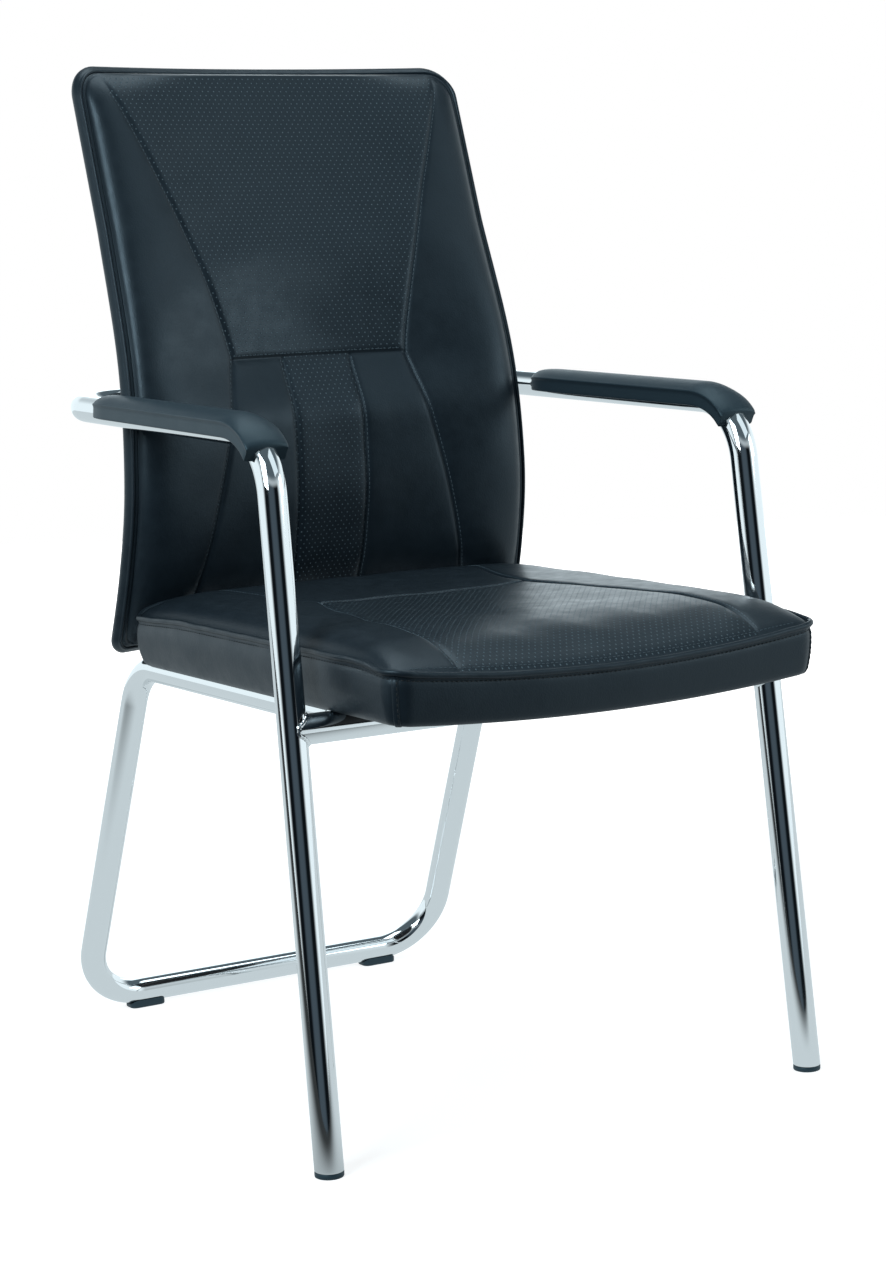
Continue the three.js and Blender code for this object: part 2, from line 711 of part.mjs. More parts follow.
// A bolt from below into the seat board, its head against the given underside.
function makeBoardBolt(x, setback, underside) {
  const headTop = underside - CLEARANCE;
  const shank = boardBase + BOARD_THICKNESS * BOLT_GRIP_SHARE - headTop;
  return boltGeometry(shank).translate(x, setback, headTop);
}

// Back

const backSpine = new THREE.SplineCurve([
  ...BACK_LOWER_SETBACKS.map((setback, i) => new THREE.Vector2(
    seatRear + setback,
    mix(backBottom, waistHeight, BACK_LOWER_SHARES[i]),
  )),
  ...BACK_UPPER_SETBACKS.map((setback, i) => new THREE.Vector2(
    seatRear + setback,
    mix(waistHeight, backTop, BACK_UPPER_SHARES[i]),
  )),
]);

// Setback of the rim of the back at a height, found by halving along its spine.
function rimSetback(height) {
  let low = 0;
  let high = 1;
  for (let i = 0; i < 24; i += 1) {
    const middle = (low + high) / 2;
    if (backSpine.getPoint(middle).y < height) {
      low = middle;
    } else {
      high = middle;
    }
  }
  return backSpine.getPoint((low + high) / 2).x;
}

// Half the width of the back at a height: it flares towards the seat.
function backHalfWidth(height) {
  const below = Math.max(BACK_FLARE_HEIGHT - (height - backBottom), 0) / BACK_FLARE_HEIGHT;
  return BACK_WIDTH / 2 + BACK_FLARE / 2 * below;
}

// The face on which the front pad meets the board and the rim: curved round the sitter.
function backFace(x, height) {
  const across = 1 - Math.min(Math.abs(x) / backHalfWidth(height), 1) ** 2;
  return rimSetback(height) - RIM_FRONT + BACK_SAG * across;
}

// Half the spread of the two long seams of the back at a height.
function sideSeam(height) {
  if (height > waistHeight) {
    const share = (height - waistHeight) / (backTop - waistHeight);
    return mix(WAIST_SPREAD, TRAPEZE_TOP_SPREAD, share ** 1.25) / 2;
  }
  const share = (waistHeight - height) / (waistHeight - backBottom);
  return mix(WAIST_SPREAD, SIDE_SEAM_FOOT_SPREAD, share) / 2;
}

// How far the front pad stands in front of the line of the rim at a point.
function padPuff(x, height) {
  const half = backHalfWidth(height) - PAD_INSET;
  const bottom = backBottom + PAD_INSET;
  const top = backTop - PAD_INSET;
  const across = 1 - (x / half) ** 2;
  const edge = rise(half - Math.abs(x), PAD_EDGE_ROUND)
    * rise(Math.min(height - bottom, top - height), PAD_EDGE_ROUND);
  const above = height - waistHeight;
  const fade = above > 0 ? WAIST_UPPER_FADE : WAIST_LOWER_FADE;
  const waist = 1 - smooth(Math.abs(above), 0, fade);
  const foot = 1 - smooth(height - bottom, 0, PAD_FOOT_HEIGHT);
  const body = PAD_EDGE_PUFF - PAD_FOOT_THIN * foot - (PAD_HOLLOW + PAD_WAIST_DIP * waist) * across;
  return edge * (body - BACK_CHANNEL * sewnShare(x, height));
}

// How deep the sewn channels of the back are at a point, as a share.
function sewnShare(x, height) {
  const seam = sideSeam(height);
  const side = channel(Math.abs(x) - seam, BACK_CHANNEL_WIDTH);
  const below = height <= waistHeight;
  const strip = below ? channel(Math.abs(x) - STRIP_SPREAD / 2, BACK_CHANNEL_WIDTH) : 0;
  const waist = Math.abs(x) <= seam ? channel(height - waistHeight, BACK_CHANNEL_WIDTH) : 0;
  return Math.max(side, strip, waist);
}

// Places a vertex of one layer of the back: front and rear give the setback of its two faces.
function placeOnBack(x, height, inset, level, front, rear, swell) {
  const half = backHalfWidth(height) - inset;
  const halfHeight = BACK_HEIGHT / 2 - inset;
  const radius = (height > backMiddle ? BACK_TOP_CORNER : BACK_BOTTOM_CORNER + inset) - inset / 2;
  const [roundX, roundZ] = roundCorner(x, height - backMiddle, half, halfHeight, radius);
  const edgeShare = Math.max(Math.abs(x) / half, Math.abs(height - backMiddle) / halfHeight) ** 12;
  const grow = 1 + swell / half * edgeShare;
  const z = backMiddle + roundZ * grow;
  return vector(roundX * grow, mix(rear(roundX, z), front(roundX, z), level), z);
}

// The rows of grid lines of the back, from its bottom edge to its top edge.
function backRows(inset) {
  const bottom = backBottom + inset;
  const top = backTop - inset;
  const seamStep = 2 * BACK_CHANNEL_WIDTH;
  const lowerShares = [0.2, 0.4, 0.6, 0.78];
  const upperShares = [0.15, 0.32, 0.5, 0.68, 0.85];
  const bottomCorner = bottom + BACK_BOTTOM_CORNER;
  const topCorner = top - BACK_TOP_CORNER;
  return [
    ...BACK_CORNER_SHARES.map((share) => bottom + share * BACK_BOTTOM_CORNER),
    ...lowerShares.map((share) => mix(bottomCorner, waistHeight, share)),
    waistHeight - 3 * seamStep,
    waistHeight - seamStep,
    waistHeight,
    waistHeight + seamStep,
    ...upperShares.map((share) => mix(waistHeight, topCorner, share)),
    ...BACK_CORNER_SHARES.map((share) => top - share * BACK_TOP_CORNER).reverse(),
  ];
}

// The puffed front pad of the back with its sewn channels.
function makeBackPad() {
  const rows = backRows(PAD_INSET);
  const seamStep = 2 * BACK_CHANNEL_WIDTH;
  const layerShares = [0, 0.35, 0.7, 1];
  const columns = 2 * (BACK_CORNER_SHARES.length + 6);
  const place = (u, v, w) => {
    const height = gridLine(rows, v);
    const halfWidth = backHalfWidth(height) - PAD_INSET;
    const seam = sideSeam(height);
    const strip = STRIP_SPREAD / 2;
    const cornerStart = halfWidth - BACK_TOP_CORNER;
    const outerSeam = Math.min(seam + seamStep, cornerStart - CLEARANCE);
    const half = [
      ...BACK_CORNER_SHARES.map((share) => halfWidth - share * BACK_TOP_CORNER),
      outerSeam,
      Math.min(seam, outerSeam - CLEARANCE),
      Math.min(seam, outerSeam) - seamStep,
      strip + seamStep,
      strip,
      strip - seamStep,
      0,
    ];
    const x = gridLine(mirrored(half), u);
    const level = gridLine(layerShares, w);
    const puff = padPuff(x, height);
    const front = (atX, atHeight) => rimSetback(atHeight) - PAD_EDGE_LIFT - puff;
    const rear = (atX, atHeight) => backFace(atX, atHeight) + RIM_FRONT;
    const swell = PAD_SIDE_BULGE * Math.sin(Math.PI * level);
    return placeOnBack(x, height, PAD_INSET, level, front, rear, swell);
  };
  const pad = formedBox(columns, rows.length - 1, layerShares.length - 1, place);
  const behind = (x, height) => backFace(x, height) - CLEARANCE / 2;
  const beyond = (x, height) => backFace(x, height) + RIM_THICKNESS;
  return cut(pad, [0, BACK_BOARD_INSET].map((inset) => backLayer(inset, behind, beyond, 0)));
}

// A plain layer of the back: its inset from the rim and its front and rear faces as setbacks.
function backLayer(inset, front, rear, swell) {
  const fieldShares = [0.55, 0.28, 0];
  const riseShares = [0.14, 0.28, 0.4, 0.52, 0.68, 0.84];
  const layerShares = swell > 0 ? [0, 0.3, 0.7, 1] : [0, 1];
  const bottom = backBottom + inset;
  const top = backTop - inset;
  const rows = [
    ...BACK_CORNER_SHARES.map((share) => bottom + share * BACK_BOTTOM_CORNER),
    ...riseShares.map((share) => mix(bottom, top, share)),
    ...BACK_CORNER_SHARES.map((share) => top - share * BACK_TOP_CORNER).reverse(),
  ];
  const place = (u, v, w) => {
    const height = gridLine(rows, v);
    const halfWidth = backHalfWidth(height) - inset;
    const half = [
      ...BACK_CORNER_SHARES.map((share) => halfWidth - share * BACK_TOP_CORNER),
      ...fieldShares.map((share) => share * halfWidth),
    ];
    const x = gridLine(mirrored(half), u);
    const level = gridLine(layerShares, w);
    return placeOnBack(x, height, inset, level, front, rear, swell * Math.sin(Math.PI * level));
  };
  const columns = 2 * (BACK_CORNER_SHARES.length + fieldShares.length - 1);
  return formedBox(columns, rows.length - 1, layerShares.length - 1, place);
}

// The rear face of the upholstered back.
function backRear(x, height) {
  const half = backHalfWidth(height);
  const fromEnd = BACK_HEIGHT / 2 - Math.abs(height - backMiddle);
  const crown = rise(half - Math.abs(x), PAD_EDGE_ROUND) * rise(fromEnd, PAD_EDGE_ROUND);
  return backFace(x, height) + RIM_THICKNESS + REAR_CROWN * crown;
}

const backBoardFront = (x, height) => backFace(x, height) + CLEARANCE / 2;
const backBoardRear = (x, height) => backBoardFront(x, height) + BACK_BOARD_THICKNESS;

// The moulded plywood board inside the back.
function makeBackBoard() {
  const board = backLayer(BACK_BOARD_INSET, backBoardFront, backBoardRear, 0);
  return cut(board, strapHoles(BACK_BOARD_THICKNESS * BOLT_GRIP_SHARE + CLEARANCE));
}

// The padded rear of the back with its raised rim, hollowed in front for the board.
function makeBackRear() {
  const rim = backLayer(0, backBoardFront, backRear, RIM_ROUND);
  const hollow = backLayer(
    BACK_BOARD_INSET - CLEARANCE,
    (x, height) => backFace(x, height) - RIM_FRONT,
    (x, height) => backBoardRear(x, height) + CLEARANCE,
    0,
  );
  return cut(rim, [hollow, ...strapLandings(), ...strapHoles(BACK_BOARD_THICKNESS)]);
}

// Straps between the frame and the back

// A flat strap bent along corner points in a plane of constant X.
function bentStrap(corners, width, thickness) {
  const path = new BentPath(corners, STRAP_BEND + STRAP_THICKNESS / 2, ARC_STEPS);
  const face = (sign) => path.stations.map(({ point, tangent }) => new THREE.Vector2(
    point.y - sign * tangent.z * thickness / 2,
    point.z + sign * tangent.y * thickness / 2,
  ));
  const outline = new THREE.Shape([...face(1), ...face(-1).reverse()]);
  const strap = new THREE.ExtrudeGeometry(outline, { depth: width, bevelEnabled: false });
  strap.applyMatrix4(new THREE.Matrix4().makeBasis(vector(0, 1, 0), vector(0, 0, 1), vector(1, 0, 0)));
  return strap.translate(corners[0].x - width / 2, 0, 0);
}

// A point on the middle plane of a strap that lies against the rear of the back.
function strapPoint(x, height) {
  const outer = x + Math.sign(x) * STRAP_WIDTH / 2;
  return vector(x, backRear(outer, height) + CLEARANCE + STRAP_THICKNESS / 2, height);
}

// The corner points of the strap from the tube behind the back down the back.
function upperStrapCorners(side) {
  const x = side * UPPER_STRAP_FROM_CENTRE;
  const top = armRearHeight + tubeRadius + CLEARANCE + STRAP_THICKNESS / 2;
  return [
    strapPoint(x, top - UPPER_STRAP_DROP),
    strapPoint(x, top),
    vector(x, armRearPoint(side).y + tubeRadius / 2, top),
  ];
}

// The corner points of the strap from under the seat board up the back.
function lowerStrapCorners(side) {
  const x = side * LOWER_STRAP_FROM_CENTRE;
  const level = coverBase - CLEARANCE - STRAP_THICKNESS / 2;
  const top = strapPoint(x, backBottom + LOWER_STRAP_CLIMB);
  const low = strapPoint(x, backBottom + BACK_BOTTOM_CORNER);
  const slope = (low.y - top.y) / (low.z - top.z);
  return [
    vector(x, seatRear - LOWER_STRAP_OVERLAP, level),
    vector(x, top.y + slope * (level - top.z), level),
    top,
  ];
}

// A bolt place near the end of a strap: the point on its outer face and the way in.
function strapBolt(end, next) {
  const along = direction(end, next);
  const point = end.clone().addScaledVector(along, STRAP_BOLT_FROM_END);
  const inward = vector(1, 0, 0).cross(along);
  if (inward.y > 0) {
    inward.negate();
  }
  return { point: point.addScaledVector(inward, -STRAP_THICKNESS / 2), inward };
}

// The four bolts that hold the back to its straps.
function backBolts() {
  return [['left', -1], ['right', 1]].flatMap(([name, side]) => {
    const upper = upperStrapCorners(side);
    const lower = lowerStrapCorners(side);
    return [
      { name: `upper_${name}`, ...strapBolt(upper[0], upper[1]) },
      { name: `lower_${name}`, ...strapBolt(lower[2], lower[1]) },
    ];
  });
}

// Depth of the board's rear face below the outer face of a strap.
const strapToBoard = STRAP_THICKNESS + CLEARANCE + RIM_THICKNESS + REAR_CROWN - BACK_BOARD_THICKNESS;

// Holes for the bolts of the straps, reaching this far into the board.
function strapHoles(intoBoard) {
  return backBolts().map(({ point, inward }) => rodBetween(
    point.clone().addScaledVector(inward, -STRAP_THICKNESS),
    point.clone().addScaledVector(inward, strapToBoard + intoBoard),
    boltHoleRadius,
    BOLT_SIDES,
  ));
}

// Flats pressed into the padding where the straps lie.
function strapLandings() {
  const width = STRAP_WIDTH + 2 * CLEARANCE;
  const thickness = STRAP_THICKNESS + 2 * CLEARANCE;
  return [-1, 1].flatMap((side) => [upperStrapCorners(side), lowerStrapCorners(side)])
    .map((corners) => bentStrap(corners, width, thickness));
}

// A strap with its bolt holes.
function makeStrap(corners, extraHoles) {
  const strap = bentStrap(corners, STRAP_WIDTH, STRAP_THICKNESS);
  return cut(strap, [...strapHoles(0), ...extraHoles]);
}

// A bolt through a strap into the board of the back.
function makeBackBolt({ point, inward }) {
  const shank = strapToBoard + BACK_BOARD_THICKNESS * BOLT_GRIP_SHARE;
  const bolt = boltGeometry(shank);
  const turn = new THREE.Quaternion().setFromUnitVectors(vector(0, 0, 1), inward);
  bolt.applyQuaternion(turn);
  const head = point.clone().addScaledVector(inward, -CLEARANCE);
  return bolt.translate(head.x, head.y, head.z);
}

// Arm pads

// A pad's section across the tube: flat at its hem, creased and crowned on top.
function padSection(widthShare, heightShare, skirt) {
  const half = PAD_HALF_WIDTH * widthShare;
  const crease = PAD_CREASE * heightShare;
  const top = PAD_TOP * heightShare;
  const right = [
    [half - PAD_HEM, -skirt],
    [half, -skirt + PAD_HEM],
    [half, crease - PAD_HEM],
    [half - PAD_HEM, crease + PAD_HEM / 4],
    [half / 2, mix(crease, top, PAD_CROWN_SHARE)],
    [0, top],
  ].map(([x, y]) => new THREE.Vector2(x, y));
  const left = right.slice(0, -1).reverse().map(({ x, y }) => new THREE.Vector2(-x, y));
  return [...right, ...left];
}

// Joins closed rings of points into one body; the outline is the first ring laid flat.
function loft(rings, outline) {
  const count = outline.length;
  const geometry = new THREE.BufferGeometry();
  const positions = rings.flat().flatMap((point) => point.toArray());
  const index = [];
  for (let r = 0; r < rings.length - 1; r += 1) {
    for (let i = 0; i < count; i += 1) {
      const a = r * count + i;
      const b = r * count + (i + 1) % count;
      index.push(a, b, b + count, a, b + count, a + count);
    }
  }
  const end = (rings.length - 1) * count;
  for (const [a, b, c] of THREE.ShapeUtils.triangulateShape(outline, [])) {
    index.push(a, c, b, end + a, end + b, end + c);
  }
  geometry.setAttribute('position', new THREE.Float32BufferAttribute(positions, 3));
  geometry.setIndex(index);
  geometry.computeVertexNormals();
  return geometry;
}

// The moulded pad on an arm: it runs forward over the tube and wraps round the bend.
function makeArmPad(side) {
  const rear = armRearPoint(side);
  const shoulder = shoulderPoint(side);
  const forward = direction(rear, shoulder);
  const down = direction(shoulder, footPoint(side));
  const turn = forward.angleTo(down);
  const inward = down.clone().addScaledVector(forward, -down.dot(forward)).normalize();
  const bendStart = shoulder.clone().addScaledVector(forward, -BEND_RADIUS * Math.tan(turn / 2));
  const centre = bendStart.clone().addScaledVector(inward, BEND_RADIUS);
  const padStart = rear.clone().addScaledVector(forward, (BEND_RADIUS + PAD_REAR_GAP) / -forward.y);
  const length = padStart.distanceTo(bendStart);
  const taper = PAD_REAR_TAPER / length;
  const taperShares = [[0, 0.72, 0.86], [0.25, 0.86, 0.95], [0.6, 0.96, 1], [1, 1, 1]];
  const straight = taperShares.map(([share, wide, tall]) => ({ share: share * taper, wide, tall }));
  straight.push({ share: (taper + 1) / 2, wide: 1, tall: 1 });
  const rings = straight.map(({ share, wide, tall }) => {
    const point = padStart.clone().lerp(bendStart, share);
    return padRing(point, forward, inward, padSection(wide, tall, PAD_SKIRT));
  });
  for (let k = 0; k <= ARC_STEPS; k += 1) {
    const share = k / ARC_STEPS;
    const angle = share * PAD_WRAP_ANGLE;
    const along = forward.clone().multiplyScalar(Math.cos(angle)).addScaledVector(inward, Math.sin(angle));
    const toCentre = inward.clone().multiplyScalar(Math.cos(angle))
      .addScaledVector(forward, -Math.sin(angle));
    const point = centre.clone().addScaledVector(toCentre, -BEND_RADIUS);
    const section = padSection(mix(1, PAD_LIP_WIDTH_SHARE, share), 1, mix(PAD_SKIRT, PAD_LIP_SKIRT, share));
    rings.push(padRing(point, along, toCentre, section));
  }
  const pad = loft(rings, padSection(1, 1, PAD_SKIRT));
  const arm = new BentPath([footPoint(side), shoulder, rear], BEND_RADIUS, BEND_STEPS);
  return cut(pad, [clearanceTube(arm, TUBE_DIAMETER)]);
}

// Stands a section on the path: its Y points away from the inside of the bend.
function padRing(point, along, inward, section) {
  const up = inward.clone().negate();
  const across = up.clone().cross(along);
  return section.map(({ x, y }) => point.clone().addScaledVector(across, x).addScaledVector(up, y));
}

addPiece('arm_leg_tube', makeArmLegTube(), 'chrome');
addPiece('rear_loop_tube', makeRearLoopTube(), 'chrome');
addPiece('front_cross_bar', makeCrossBar(), 'chrome');
for (const [name, side] of [['left', -1], ['right', 1]]) {
  addPiece(`foot_plug_${name}`, makeFootPlug(side), 'plastic');
  addPiece(`sled_glide_${name}`, makeSledGlide(side), 'plastic');
  addPiece(`arm_pad_${name}`, makeArmPad(side), 'plastic');
  addPiece(`back_strap_upper_${name}`, makeStrap(upperStrapCorners(side), []), 'painted');
  const { x, setback } = lowerStrapBolt(side);
  const strapTop = coverBase - CLEARANCE;
  const seatHole = boltHole(x, setback, strapTop - TUBE_DIAMETER, strapTop + STRAP_THICKNESS);
  addPiece(`back_strap_lower_${name}`, makeStrap(lowerStrapCorners(side), [seatHole]), 'painted');
  addPiece(`seat_bolt_strap_${name}`, makeBoardBolt(x, setback, strapTop - STRAP_THICKNESS), 'zinc');
}
addPiece('seat_cushion', makeSeatCushion(), 'leather');
addPiece('seat_board', makeSeatBoard(), 'plywood');
addPiece('seat_cover', makeSeatCover(), 'cover');
for (const place of tabPlaces()) {
  addPiece(`seat_tab_${place.name}`, makeTab(place), 'painted');
  const underside = coverBase - CLEARANCE - TAB_THICKNESS;
  addPiece(`seat_bolt_${place.name}`, makeBoardBolt(place.x, place.setback, underside), 'zinc');
}
addPiece('back_pad', makeBackPad(), 'leather');
addPiece('back_board', makeBackBoard(), 'plywood');
addPiece('back_rear', makeBackRear(), 'leather');
for (const bolt of backBolts()) {
  addPiece(`back_bolt_${bolt.name}`, makeBackBolt(bolt), 'zinc');
}

// The origin is on the floor, at the middle of the chair's box.
const box = new THREE.Box3().setFromObject(chair);
chair.position.y = -(box.min.y + box.max.y) / 2;

export default chair;
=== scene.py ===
"""Looks of a padded visitor chair on a chromed tube frame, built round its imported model.

Sizes are in millimetres, as drawn: x runs across the chair, the setback runs from the front
feet towards the back, and heights count from the floor. They turn into metres only where a
mesh is made.
"""

import json
import logging
import math
from dataclasses import dataclass, field
from enum import Enum
from typing import Any, Sequence

import bmesh
import bpy
import numpy as np
from bpy.types import Material, Mesh, Node, NodeTree, Object
from mathutils import Matrix, Vector

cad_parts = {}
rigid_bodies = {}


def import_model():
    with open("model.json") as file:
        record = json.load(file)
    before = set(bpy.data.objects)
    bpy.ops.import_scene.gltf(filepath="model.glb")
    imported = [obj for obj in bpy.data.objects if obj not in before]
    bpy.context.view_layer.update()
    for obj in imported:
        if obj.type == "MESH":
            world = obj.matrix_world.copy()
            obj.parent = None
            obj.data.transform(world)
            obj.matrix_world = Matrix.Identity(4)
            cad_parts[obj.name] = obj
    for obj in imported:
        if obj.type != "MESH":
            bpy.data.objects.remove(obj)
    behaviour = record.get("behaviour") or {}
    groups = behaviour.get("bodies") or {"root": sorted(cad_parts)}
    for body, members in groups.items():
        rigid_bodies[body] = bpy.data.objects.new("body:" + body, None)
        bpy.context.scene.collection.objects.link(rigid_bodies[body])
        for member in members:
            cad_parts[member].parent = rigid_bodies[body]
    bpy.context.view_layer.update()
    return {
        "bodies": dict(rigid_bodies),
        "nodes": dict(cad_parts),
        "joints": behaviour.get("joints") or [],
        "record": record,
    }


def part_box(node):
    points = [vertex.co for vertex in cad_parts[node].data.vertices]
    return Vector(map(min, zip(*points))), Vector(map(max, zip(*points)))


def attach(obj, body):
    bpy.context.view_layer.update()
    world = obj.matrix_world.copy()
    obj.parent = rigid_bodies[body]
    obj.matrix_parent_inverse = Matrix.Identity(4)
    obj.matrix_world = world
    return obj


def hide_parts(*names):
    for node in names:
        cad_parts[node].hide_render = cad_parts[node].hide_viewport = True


Array = np.ndarray
LOG = logging.getLogger("chair")
METRES_PER_MM = 0.001
PANEL_DEGREES = 75.0  # Edges of sewn panels look sharp above this turn.
SOFT_DEGREES = 80.0  # Edges of sewn pieces and welds look sharp above this turn.
SEAM_REACH = 7.0  # Millimetres on each side of a seam in which the grid is dense.
EDGE_SLACK = 0.01  # Millimetres by which a vertex may miss the seam that it lies on.
WHITE = (1.0, 1.0, 1.0, 1.0)
PLASTIC_IOR = 1.5  # Leather's skin, polyurethane and powder coat alike.
WAVE_FACTOR = 20.0  # Blender's wave texture multiplies its coordinates by this.


class Side(Enum):
    """The two sides of the chair; the value is the sign of x."""

    LEFT = -1
    RIGHT = 1

    @property
    def word(self) -> str:
        """The side as it stands in the names of pieces."""
        return self.name.lower()


class Surface(Enum):
    """How the leather of one panel is finished."""

    PLAIN = 0
    PERFORATED = 1


@dataclass(frozen=True)
class Drawing:
    """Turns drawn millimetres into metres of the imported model.

    Args:
        origin_setback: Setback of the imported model's origin, in millimetres.
    """

    origin_setback: float

    def metres(self, points: Array) -> Array:
        """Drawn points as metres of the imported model.

        Args:
            points: Points as rows of x, setback and height in millimetres.

        Returns:
            The same points in metres.
        """
        return (np.asarray(points, float) - (0.0, self.origin_setback, 0.0)) * METRES_PER_MM


# Materials


def linear(colour: str) -> tuple[float, float, float, float]:
    """Turns an sRGB hex colour into linear red, green, blue and alpha.

    Args:
        colour: The colour as "#rrggbb".

    Returns:
        Four numbers from 0 to 1.
    """
    shares = [int(colour[i : i + 2], 16) / 255 for i in (1, 3, 5)]
    red, green, blue = [c / 12.92 if c <= 0.04045 else ((c + 0.055) / 1.055) ** 2.4 for c in shares]
    return red, green, blue, 1.0


def add_node(
    tree: NodeTree, kind: str, inputs: dict[str | int, Any] | None = None, **settings: Any
) -> Node:
    """Adds a shader node with its settings and links.

    Args:
        tree: The node tree of a material or the world.
        kind: Blender's name for the type of node, without "ShaderNode" before it.
        inputs: Sockets by name or number. Each has a value, a node whose first output is
            linked, or a node with the name or number of the output that is linked.
        settings: Attributes of the node.

    Returns:
        The new node.
    """
    node = tree.nodes.new("ShaderNode" + kind)
    for name, value in settings.items():
        setattr(node, name, value)
    for key, value in (inputs or {}).items():
        value = (value, 0) if isinstance(value, Node) else value
        if isinstance(value, tuple) and isinstance(value[0], Node):
            tree.links.new(value[0].outputs[value[1]], node.inputs[key])
        else:
            node.inputs[key].default_value = value
    return node


def scale_of(size_mm: float) -> float:
    """The scale of a texture whose pattern has a size in millimetres."""
    return 1 / (size_mm * METRES_PER_MM)


def new_material(name: str) -> tuple[Material, NodeTree, tuple[Node, str]]:
    """Makes a node material that has only its coordinates.

    Args:
        name: The name of the material.

    Returns:
        The material, its node tree and the output with the object's coordinates.
    """
    material = bpy.data.materials.new(name)
    material.use_nodes = True
    tree = material.node_tree
    tree.nodes.clear()
    return material, tree, (add_node(tree, "TexCoord"), "Object")


def finish_tree(tree: NodeTree, inputs: dict[str | int, Any], material: Material) -> Material:
    """Adds the surface shader and the output that every finish ends in.

    Args:
        tree: The node tree of the material.
        inputs: Values and links of the surface shader's sockets.
        material: The material that the tree belongs to.

    Returns:
        The material.
    """
    shader = add_node(tree, "BsdfPrincipled", inputs)
    add_node(tree, "OutputMaterial", {"Surface": shader})
    return material


@dataclass(frozen=True)
class ChromedSteel:
    """Steel tube, polished and plated with bright chromium: a mirror with a faint blue cast."""

    name: str = "chromed_steel"
    colour: str = "#e6e8e9"
    roughness: tuple[float, float] = (0.035, 0.075)
    polish_mark_mm: float = 9.0

    def material(self) -> Material:
        """The plated surface, whose polish wanders slightly along the tube.

        Returns:
            The material.
        """
        material, tree, place = new_material(self.name)
        scale = scale_of(self.polish_mark_mm)
        marks = add_node(tree, "TexNoise", {"Vector": place, "Scale": scale, "Detail": 2.0})
        low, high = self.roughness
        spread = add_node(tree, "MapRange", {"Value": marks, "To Min": low, "To Max": high})
        inputs = {"Base Color": linear(self.colour), "Metallic": 1.0, "Roughness": spread}
        return finish_tree(tree, inputs, material)


